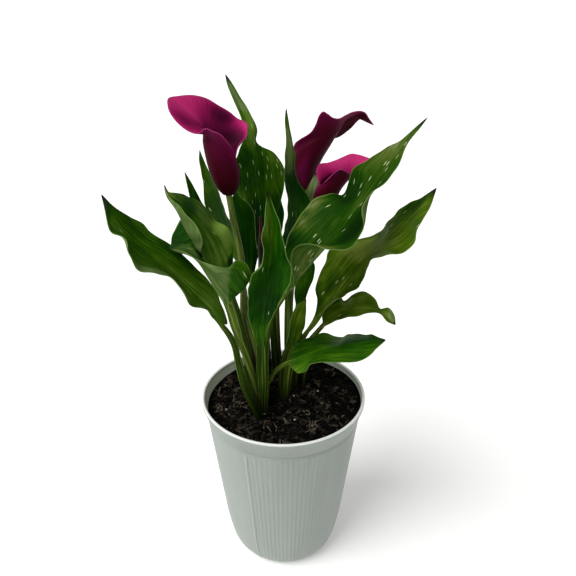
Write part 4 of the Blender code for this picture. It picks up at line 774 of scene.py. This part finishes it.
# %% Stems, spikes and the bud
SEAT = 0.5
STEM_NECK, STEM_END = 4.0, 3.0  # the stem's last place below the petal's foot, and how far it reaches inside
SPIKE_BEND = 8.0  # above the petal's foot the spike starts to follow the funnel
ROD_SIDES = 20
ROD_GIRTH = 8.0


def rod(name, places, radii, rows=60, knobs=0.0):
    """A round rod along the places, with radii spread evenly along it, and knobs this high."""
    along = np.linspace(0.0, 1.0, rows)
    centre = smooth_curve(places, along)
    size = np.interp(along, np.linspace(0.0, 1.0, len(radii)), radii)
    size[[0, -1]] = 0.0
    travel = unit(np.gradient(centre, axis=0))
    side = unit(np.cross(travel, (0.0, 1.0, 0.05)))
    front = np.cross(travel, side)
    turn = np.linspace(0.0, math.tau, ROD_SIDES + 1)
    bumps = 1.0 + knobs * np.outer(np.cos(np.arange(rows) * math.pi), np.cos(turn * ROD_SIDES / 2))
    reach = size[:, None] * bumps
    rings = (centre[:, None] + side[:, None] * (reach * np.cos(turn))[..., None]
             + front[:, None] * (reach * np.sin(turn))[..., None])
    rings[:, -1] = rings[:, 0]
    note = np.zeros((rows, ROD_SIDES + 1, 3))
    note[..., 0] = turn / math.tau * 2 - 1
    note[..., 1] = along[:, None]
    return sleeve(name, rings, {"place": note, "span": note * (ROD_GIRTH, travelled(centre)[-1], 1.0)})


rods = {}
for name, flower in FLOWERS.items():
    foot = flower["rings"][0, :3]
    axis = unit(flower["rings"][1, :3] - foot)
    places = [(*flower["root"][0], ROOT_HEIGHT), *flower["stem"], foot - axis * STEM_NECK]
    stem = smooth_curve(places, np.linspace(0, 1, 11))
    rods["stem_" + name] = rod("stem_" + name + "_rod", [*stem, foot + axis * STEM_END], [2.7, 2.5])
    spike = [foot + axis * (STEM_END + SEAT), foot + axis * SPIKE_BEND, flower["rings"][4, :3]]
    rods["spadix_" + name] = rod("spadix_" + name + "_spike", spike, [2.2, 2.3, 2.3, 2.1, 1.6], 70, 0.09)
bud_foot = BUD["line"][0] - (0.0, 0.0, SEAT)
rods["stem_bud"] = rod("stem_bud_rod", [(*BUD["root"][0], ROOT_HEIGHT), *BUD["stem"], bud_foot], [2.1, 1.7])
rods["bud_closed"] = rod("bud_closed_roll", BUD["line"], BUD["radii"][0])
print("rods", sorted(rods))

# %% [markdown]
# ## Petal, stem and spike finishes
# The petal is velvety: a sheen of tiny rounded cells scatters light at grazing angles. Inside it is a clear magenta
# with faint lengthwise veins, outside a deep burgundy, and the inside is painted darker down into the throat, painted
# shade deep in the funnel. Stems are firm, green and smooth with long faint streaks and a breath of purple. The spike
# is a matt yellow.

# %% Petal finish
PETAL_VEINS = (60.0, 1.4, 0.0)  # 120 veins round the petal, a millimetre or two apart
# the inside is painted darker down into the throat: painted shade deep in the funnel
THROAT_TO_LIP = [(0.35, "#30021C"), (0.62, "#5E0834"), (0.82, "#8E1450"), (1.0, "#AE2864")]
OUTSIDE_TONES = [(0.02, "#2A0A08"), (0.1, "#2C0008"), (0.5, "#3C0216"), (0.95, "#5C0A34")]


def petal_material():
    """Velvety petal: pink inside, burgundy outside, veined lengthwise, with a painted highlight on its rolled lip."""
    made, shader = new_material("velvety_calla_petal", Roughness=0.55, IOR=1.4, Specular_IOR_Level=0.05,
                                Sheen_Weight=0.02, Sheen_Roughness=0.4, Sheen_Tint="#B04A90")
    place, painted_light = (add(made, "Attribute", attribute_name=note).outputs["Vector"] for note in ("place", "span"))
    round_it, up_it, side = add(made, "SeparateXYZ", place).outputs
    veins = add(made, "TexNoise", add(made, "Mapping", place, Scale=PETAL_VEINS), Scale=1.0, Detail=4.0)
    tone = add(made, "MapRange", veins, 0.3, 0.7, -0.05, 0.05)
    # add the patches' painted light and painted shade
    tone = add(made, "Math", tone, add(made, "SeparateXYZ", painted_light), operation="ADD")
    tone = add(made, "Math", up_it, tone, operation="ADD")
    inside, outside = (add(made, "ValToRGB", tone, stops=stops) for stops in (THROAT_TO_LIP, OUTSIDE_TONES))
    petal = add(made, "Mix", side, outside, inside, data_type="RGBA")
    # painted highlight along the rolled lip, where it catches the light
    painted_lip_light = add(made, "MapRange", up_it, 0.98, 0.998, 0.0, 0.55)
    petal = add(made, "Mix", painted_lip_light, petal, "#A03C70", data_type="RGBA")
    # a greyish painted sheen line along the tongue's midline crease
    painted_crease_sheen = add(made, "MapRange", add(made, "Math", round_it, operation="ABSOLUTE"), 0.0, 0.02, 0.4, 0.0,
                 interpolation_type="SMOOTHSTEP")
    fill(shader, Base_Color=add(made, "Mix", painted_crease_sheen, petal, "#6A3048", data_type="RGBA"),
         Normal=add(made, "Bump", Height=veins, Strength=0.2, Distance=0.0004))
    return made


petal_skin = petal_material()
for name, piece in petals.items():
    dress(piece, petal_skin, "spathe", "spathe_" + name)
print("petal material", petal_skin.name)

# %% Stem, bud and spike finishes
ROD_STREAK = (0.7, 0.03, 0.0)  # streaks 1.4 mm by 33 mm


def streaked_material(name, tones, roughness, foot="#FFFFFF"):
    """A rod's finish: tones in faint streaks drawn out along it, darker towards its foot."""
    made, shader = new_material(name, Roughness=roughness, IOR=1.42, Specular_IOR_Level=0.2)
    place, span = (add(made, "Attribute", attribute_name=note).outputs["Vector"] for note in ("place", "span"))
    streak = add(made, "TexNoise", add(made, "Mapping", span, Scale=ROD_STREAK), Scale=1.0, Detail=4.0)
    tone = add(made, "ValToRGB", streak, stops=list(zip((0.35, 0.5, 0.65), tones)))
    shade = add(made, "ValToRGB", add(made, "SeparateXYZ", place).outputs["Y"], stops=[(0.35, foot), (0.75, "#FFFFFF")])
    fill(shader, Base_Color=add(made, "Mix", 1.0, tone, shade, data_type="RGBA", blend_type="MULTIPLY"),
         Normal=add(made, "Bump", Height=streak, Strength=0.3, Distance=0.0004))
    return made


ROD_SKINS = {
    "stem": ("stem", streaked_material("smooth_olive_stem", ("#34420E", "#566820", "#74843A"), 0.45, "#5C4A48")),
    "bud": ("spathe", streaked_material("closed_burgundy_bud", ("#200208", "#3A0416", "#5A1C38"), 0.45, "#30302C")),
    "spadix": ("spadix", streaked_material("matt_yellow_spadix", ("#C08A1E", "#D9A52E", "#E8BC4A"), 0.7)),
}
for name, piece in rods.items():
    slot, skin = ROD_SKINS[name.split("_")[0]]
    dress(piece, skin, slot, name)
print("dressed", len(petals) + len(rods), "pieces")

# %% [markdown]
# ## The pot
# The pot is injection moulded: a thin tapered wall with a flared band under a round lip, and panels of fine upright
# ribs, each with a stronger ridge beside it. It is made as on a bench: a circle is extruded ring by ring down the
# outside, across the floor and up the inside. The ribs are so soft that no edge shows, so the outer wall's points are
# moved outwards along a wave that repeats every 3.75 degrees, about 4 mm, and fades out at its top and foot.

# %% The pot's wall
SEGMENTS = 576
OUTSIDE = [(73.4, 172.0), (74.6, 171.8), (75.0, 171.2), (75.0, 168.6), (74.6, 168.0), (74.2, 167.6),
           (70.9, 155.4), (70.4, 154.8), (69.9, 154.4), (69.8, 153.2), (70.3, 151.0),
           (70.06, 149.0), (57.0, 40.0), (55.4, 31.0), (54.0, 23.5), (52.3, 15.5), (50.4, 10.0), (48.0, 6.0),
           (45.3, 2.4), (42.6, 0.3), (41.4, 0.0), (36.0, 0.0), (35.0, 0.8), (20.0, 0.8), (0.4, 0.8)]
INSIDE = [(0.4, 2.0), (40.0, 2.0), (43.6, 3.9), (46.3, 7.4), (50.7, 17.1), (53.8, 31.0), (55.4, 40.0),
          (68.7, 151.0), (68.9, 153.5), (69.3, 155.4), (72.5, 167.6), (72.7, 168.6), (72.6, 171.4)]
bpy.ops.object.select_all(action="DESELECT")
bpy.ops.mesh.primitive_circle_add(vertices=SEGMENTS, radius=OUTSIDE[0][0] * MM, location=(0, 0, OUTSIDE[0][1] * MM))
pot = bpy.context.object
pot.name = "pot_moulded"
bpy.ops.object.transform_apply(location=True, rotation=True, scale=True)
bpy.ops.object.mode_set(mode="EDIT")
bpy.ops.mesh.select_all(action="SELECT")
profile = OUTSIDE + INSIDE
for (radius, height), (next_radius, next_height) in zip(profile, profile[1:]):
    bpy.ops.mesh.extrude_edges_move(TRANSFORM_OT_translate={"value": (0, 0, (next_height - height) * MM)})
    grow = next_radius / radius
    bpy.ops.transform.resize(value=(grow, grow, 1.0), center_override=(0, 0, next_height * MM))
bpy.ops.mesh.select_all(action="SELECT")
bpy.ops.mesh.select_non_manifold(extend=False)
bpy.ops.mesh.bridge_edge_loops()
bpy.ops.mesh.select_all(action="SELECT")
bpy.ops.mesh.normals_make_consistent(inside=False)
bpy.ops.object.mode_set(mode="OBJECT")
print("pot faces", len(pot.data.polygons))

# %% Ribs and ridges
PANEL_CENTRES, PANEL_HALF = (-84.3, 35.7, 155.7), 31.0
RIB_PITCH, RIB_HEIGHT = 3.75, 0.42
RIDGE_OFF, RIDGE_WIDTH, RIDGE_HEIGHT = 2.2, 1.1, 1.1
RIB_TOP, RIB_FOOT = 151.0, 3.0
TOP_FADE, FOOT_FADE = 2.0, 12.0
ON_WALL = 0.3
wall_radii, wall_heights = zip(*OUTSIDE[19:9:-1])


def swell(angle, height):
    """How far the wall stands out, in millimetres, at a direction in degrees and a height."""
    out = 0.0
    for centre in PANEL_CENTRES:
        away = (angle - centre + 180.0) % 360.0 - 180.0
        within = min(1.0, max(0.0, PANEL_HALF - abs(away)))
        out += RIB_HEIGHT * within * (0.5 + 0.5 * math.cos(math.tau * away / RIB_PITCH))
        out += RIDGE_HEIGHT * math.exp(-(((away + PANEL_HALF + RIDGE_OFF) / RIDGE_WIDTH) ** 2))
    for room in ((RIB_TOP - height) / TOP_FADE, (height - RIB_FOOT) / FOOT_FADE):
        out *= min(1.0, max(0.0, room))
    return out


moved = 0
for vertex in pot.data.vertices:
    reach, height = vertex.co.xy.length / MM, vertex.co.z / MM
    if RIB_FOOT < height < RIB_TOP and abs(reach - np.interp(height, wall_heights, wall_radii)) < ON_WALL:
        grow = 1.0 + swell(math.degrees(math.atan2(vertex.co.y, vertex.co.x)), height) / reach
        vertex.co.xy = vertex.co.xy * grow
        moved += 1
print("points on the ribbed wall", moved)

# %% Drain holes and soft edges
HOLES, HOLE_RING, HOLE_RADIUS = 6, 28, 4.0
drills = []
for k in range(HOLES):
    turn = math.tau * k / HOLES
    bpy.ops.mesh.primitive_cylinder_add(vertices=24, radius=HOLE_RADIUS * MM, depth=8.0 * MM, location=(
        HOLE_RING * MM * math.cos(turn), HOLE_RING * MM * math.sin(turn), 0.0))
    drills.append(bpy.context.object)


def join_pieces(name, pieces):
    bpy.ops.object.select_all(action="DESELECT")
    for piece in pieces:
        piece.select_set(True)
    bpy.context.view_layer.objects.active = pieces[0]
    bpy.ops.object.join()
    joined = bpy.context.object
    joined.name = name
    return joined


drill = join_pieces("drill", drills)
bpy.ops.object.select_all(action="DESELECT")
bpy.context.view_layer.objects.active = pot
holes = pot.modifiers.new("drain_holes", "BOOLEAN")
holes.operation = "DIFFERENCE"
holes.solver = "EXACT"
holes.object = drill
bpy.ops.object.modifier_apply(modifier=holes.name)
bpy.data.objects.remove(drill)
soften = pot.modifiers.new("soft_edges", "BEVEL")
soften.width = 0.25 * MM
soften.segments = 2
soften.limit_method = "ANGLE"
soften.angle_limit = math.radians(40)
bpy.ops.object.modifier_apply(modifier=soften.name)
pot.select_set(True)
bpy.ops.object.shade_smooth_by_angle(angle=math.radians(35))
print("pot faces", len(pot.data.polygons))

# %% [markdown]
# ## Pot finish
# Nursery pots are polypropylene, here a pale grey-green. The mould leaves it matt and very slightly uneven, and the
# thin lip looks almost white where light passes through it.

# %% Pot finish
LIP_FROM, LIP_TO = 170.2 * MM, 171.2 * MM
pot_plastic, shader = new_material("matt_moulded_polypropylene", Roughness=0.55, IOR=1.49, Specular_IOR_Level=0.4,
                                   Subsurface_Weight=0.6, Subsurface_Scale=0.008, Subsurface_Radius=(1.0, 1.0, 0.9))
where = add(pot_plastic, "TexCoord").outputs["Object"]
flow = add(pot_plastic, "Mapping", where, Scale=(60.0, 60.0, 9.0))  # marks of the melt's flow, 17 mm by 110 mm
cloud = add(pot_plastic, "TexNoise", flow, Scale=1.0, Detail=3.0)
tone = add(pot_plastic, "ValToRGB", cloud, stops=[(0.3, "#8D948E"), (0.7, "#929993")])
painted_lip_light = add(pot_plastic, "MapRange", add(pot_plastic, "SeparateXYZ", where).outputs["Z"], LIP_FROM, LIP_TO)
grain = add(pot_plastic, "TexNoise", where, Scale=900.0, Detail=2.0)  # the mould's grain, 1.1 mm
fill(shader, Base_Color=add(pot_plastic, "Mix", painted_lip_light, tone, "#DADDD6", data_type="RGBA"),
     Normal=add(pot_plastic, "Bump", Height=grain, Strength=0.12, Distance=0.0003))
dress(pot, pot_plastic, "pot", "pot")
print("pot material", pot_plastic.name)

# %% [markdown]
# ## The soil
# Bark compost is a heap of dark crumbs and slivers with a few pale threads of root and white grains of perlite. A disc
# with an uneven top carries it, and a few shapes are modelled once and scattered by a seeded draw. The copies of each
# kind become one piece.

# %% Soil bed
SOIL_EDGE, SOIL_TILT, RIM_RADIUS = 162.5, (3.0, 1.6), 75.0
MOUND, MOUND_RADIUS = 3.0, 38.0
HUMMOCK, RUFFLE = 1.3, 0.5
CALM_EDGE, CALM_WIDTH = 70.0, 6.0
WALL_FROM, WALL_TO, NEAR_WALL, CLEARANCE = (69.3, 155.4), (72.5, 167.6), 70.5, 0.4
BED_ROWS, BED_SIDES, BED_SKIRT = 61, 144, 6.0
draw = random.Random(5)


def soil_top(x, y):
    tilt = (SOIL_TILT[0] * x + SOIL_TILT[1] * y) / RIM_RADIUS
    return SOIL_EDGE + tilt + MOUND * math.exp(-((x * x + y * y) / MOUND_RADIUS ** 2))


def bed_radius(turn):
    """Where the sloping top meets the pot's flared inner wall, less a hair's breadth."""
    height = soil_top(NEAR_WALL * math.cos(turn), NEAR_WALL * math.sin(turn))
    share = (height - WALL_FROM[1]) / (WALL_TO[1] - WALL_FROM[1])
    return WALL_FROM[0] + share * (WALL_TO[0] - WALL_FROM[0]) - CLEARANCE


def ground(x, y):
    """The soil's height with hummocks a centimetre or two across that fade out at the wall."""
    fade = min(1.0, max(0.0, (CALM_EDGE - math.hypot(x, y)) / CALM_WIDTH))
    return soil_top(x, y) + fade * (HUMMOCK * math.sin(x * 0.31 + 1.7 * math.sin(y * 0.22)) * math.cos(y * 0.27)
                                    + RUFFLE * math.sin(x * 0.9 + y * 0.6) * math.sin(y * 0.8 - x * 0.4))


bed = np.zeros((BED_ROWS + 1, BED_SIDES + 1, 3))
for k in range(BED_SIDES + 1):
    turn = math.tau * (k % BED_SIDES) / BED_SIDES
    for i, radius in enumerate(np.linspace(0.0, bed_radius(turn), BED_ROWS)):
        x, y = radius * math.cos(turn), radius * math.sin(turn)
        bed[i, k] = (x, y, ground(x, y))
bed[-1] = bed[-2] * (0.98, 0.98, 1.0) - (0.0, 0.0, BED_SKIRT)
soil = sleeve("soil_bed", bed, {})
print("bed faces", len(soil.data.polygons))

# %% Crumbs, slivers, grains and threads
stalk_roots = [record["root"][0] for record in (*LEAVES.values(), *FLOWERS.values(), BUD)]


def crumb(size, roughness):
    """A lump: a small ball whose points are pushed in and out by a seeded draw."""
    bpy.ops.object.select_all(action="DESELECT")
    bpy.ops.mesh.primitive_ico_sphere_add(subdivisions=2, radius=1.0)
    lump = bpy.context.object
    for vertex in lump.data.vertices:
        vertex.co *= 1.0 + draw.uniform(-roughness, roughness)
        vertex.co = Vector([part * scale * MM for part, scale in zip(vertex.co, size)])
    return lump


def splinter(size, raggedness):
    """A broken flake of bark: a cube's corners drawn out and pushed about, cut once along its length."""
    bpy.ops.object.select_all(action="DESELECT")
    bpy.ops.mesh.primitive_cube_add(size=2.0)
    flake = bpy.context.object
    bpy.ops.object.mode_set(mode="EDIT")
    bpy.ops.mesh.subdivide(number_cuts=1)
    bpy.ops.object.mode_set(mode="OBJECT")
    for vertex in flake.data.vertices:
        narrowing = 1.0 - 0.45 * abs(vertex.co.x)
        vertex.co.y *= narrowing
        vertex.co.z *= narrowing
        vertex.co = Vector([(part + draw.uniform(-raggedness, raggedness)) * scale * MM
                            for part, scale in zip(vertex.co, size)])
    return flake


def scatter(original, count, reach, sink, scales, keep_off=3.2, tilt=0.5):
    """Copies of one shape laid at random on the soil: how many, how far out, how deep, how large, and how far off a
    stalk's root and out of level."""
    copies = []
    while len(copies) < count:
        radius, turn = reach * math.sqrt(draw.random()), draw.uniform(0, math.tau)
        x, y = radius * math.cos(turn), radius * math.sin(turn)
        if min(math.hypot(x - rx, y - ry) for rx, ry in stalk_roots) < keep_off:
            continue
        size = draw.uniform(*scales)
        place = Matrix.Translation((x * MM, y * MM, (ground(x, y) - sink * size) * MM))
        place = place @ Matrix.Rotation(draw.uniform(0, math.tau), 4, "Z")
        for axis in "YX":
            place = place @ Matrix.Rotation(draw.uniform(-tilt, tilt), 4, axis)
        piece = bpy.data.objects.new(original.name, original.data.copy())
        piece.data.transform(place @ Matrix.Scale(size, 4))
        bpy.context.scene.collection.objects.link(piece)
        copies.append(piece)
    bpy.data.objects.remove(original)
    return copies


crumbs = scatter(crumb((1.5, 1.3, 1.1), 0.3), 1100, 68.5, 0.1, (0.4, 1.5))
crumbs += scatter(splinter((2.8, 1.7, 0.7), 0.25), 300, 66.5, 0.1, (0.6, 1.4), 4.5, 0.5)
soil_crumbs = join_pieces("soil_crumbs", crumbs)
slivers = scatter(splinter((6.5, 0.5, 0.35), 0.2), 120, 62.0, -0.9, (0.5, 1.1), 5.0, 0.3)
slivers += scatter(splinter((3.4, 0.5, 0.35), 0.22), 760, 66.0, -0.9, (0.4, 1.25), 4.0, 0.5)
soil_slivers = join_pieces("soil_slivers", slivers)
perlite = join_pieces("soil_perlite", scatter(crumb((1.0, 0.9, 0.8), 0.12), 7, 64.0, -1.2, (0.6, 1.2)))
print("crumb faces", len(soil_crumbs.data.polygons), "perlite faces", len(perlite.data.polygons))

# %% Threads of root
THREADS, THREAD_REACH, THREAD_LIMIT = 16, 62.0, 66.0
THREAD_STEP, THREAD_LIFT, THREAD_RADII = 2.6, 1.3, [0.22, 0.16]
threads = []
for k in range(THREADS):
    radius, turn = THREAD_REACH * math.sqrt(draw.random()), draw.uniform(0, math.tau)
    heading, bend = draw.uniform(0, math.tau), draw.uniform(-0.5, 0.5)
    x, y, places = radius * math.cos(turn), radius * math.sin(turn), []
    for step in range(6):
        places.append((x, y, ground(x, y) + THREAD_LIFT + draw.uniform(-0.4, 0.8)))
        x, y = x + THREAD_STEP * math.cos(heading), y + THREAD_STEP * math.sin(heading)
        heading += bend + draw.uniform(-0.3, 0.3)
    if max(math.hypot(px, py) for px, py, _ in places) < THREAD_LIMIT:
        threads.append(rod("thread", places, THREAD_RADII, 14))
soil_threads = join_pieces("soil_threads", threads)
print("threads", len(threads))

# %% [markdown]
# ## Soil finish
# Wet bark is almost black. Broken faces show brown, and dry fibres are a dull straw colour. Each crumb gets its own
# tone because the pattern's cells are about as large as a crumb, 3 to 4 mm.

# %% Soil finish


def soil_material(name, tones, cell, roughness):
    """Crumbly matter: cells of slightly different tone, this many to the metre, with fine grain on them."""
    made, shader = new_material(name, Roughness=roughness, Specular_IOR_Level=0.04)
    where = add(made, "TexCoord").outputs["Object"]
    cells = add(made, "SeparateColor", add(made, "TexVoronoi", where, Scale=cell).outputs["Color"])
    grain = add(made, "TexNoise", where, Scale=1500.0, Detail=3.0)
    fill(shader, Base_Color=add(made, "ValToRGB", cells, stops=list(zip((0.0, 0.6, 1.0), tones))),
         Normal=add(made, "Bump", Height=grain, Strength=0.6, Distance=0.0006))
    return made


soil_kinds = {
    soil: soil_material("damp_bark_bed", ("#020201", "#050504", "#0B0A08"), 330.0, 0.9),
    soil_crumbs: soil_material("damp_bark_crumbs", ("#020202", "#080706", "#302B22"), 260.0, 0.85),
    soil_slivers: soil_material("frayed_bark_slivers", ("#0B0A08", "#221F1A", "#5A5244"), 140.0, 0.8),
    perlite: soil_material("white_perlite", ("#A8A69C", "#C8C6BC", "#DCDAD2"), 500.0, 0.9),
    soil_threads: soil_material("dry_root_thread", ("#4A3F2E", "#6E6048", "#8A7C62"), 200.0, 0.8),
}
for piece, skin in soil_kinds.items():
    dress(piece, skin, "soil", *(["soil"] if piece is soil else []))
print("soil pieces", [piece.name for piece in soil_kinds])

# %% [markdown]
# ## Finish
# The dressed plant keeps to the imported solids' box.

# %% Finish
bpy.context.view_layer.update()
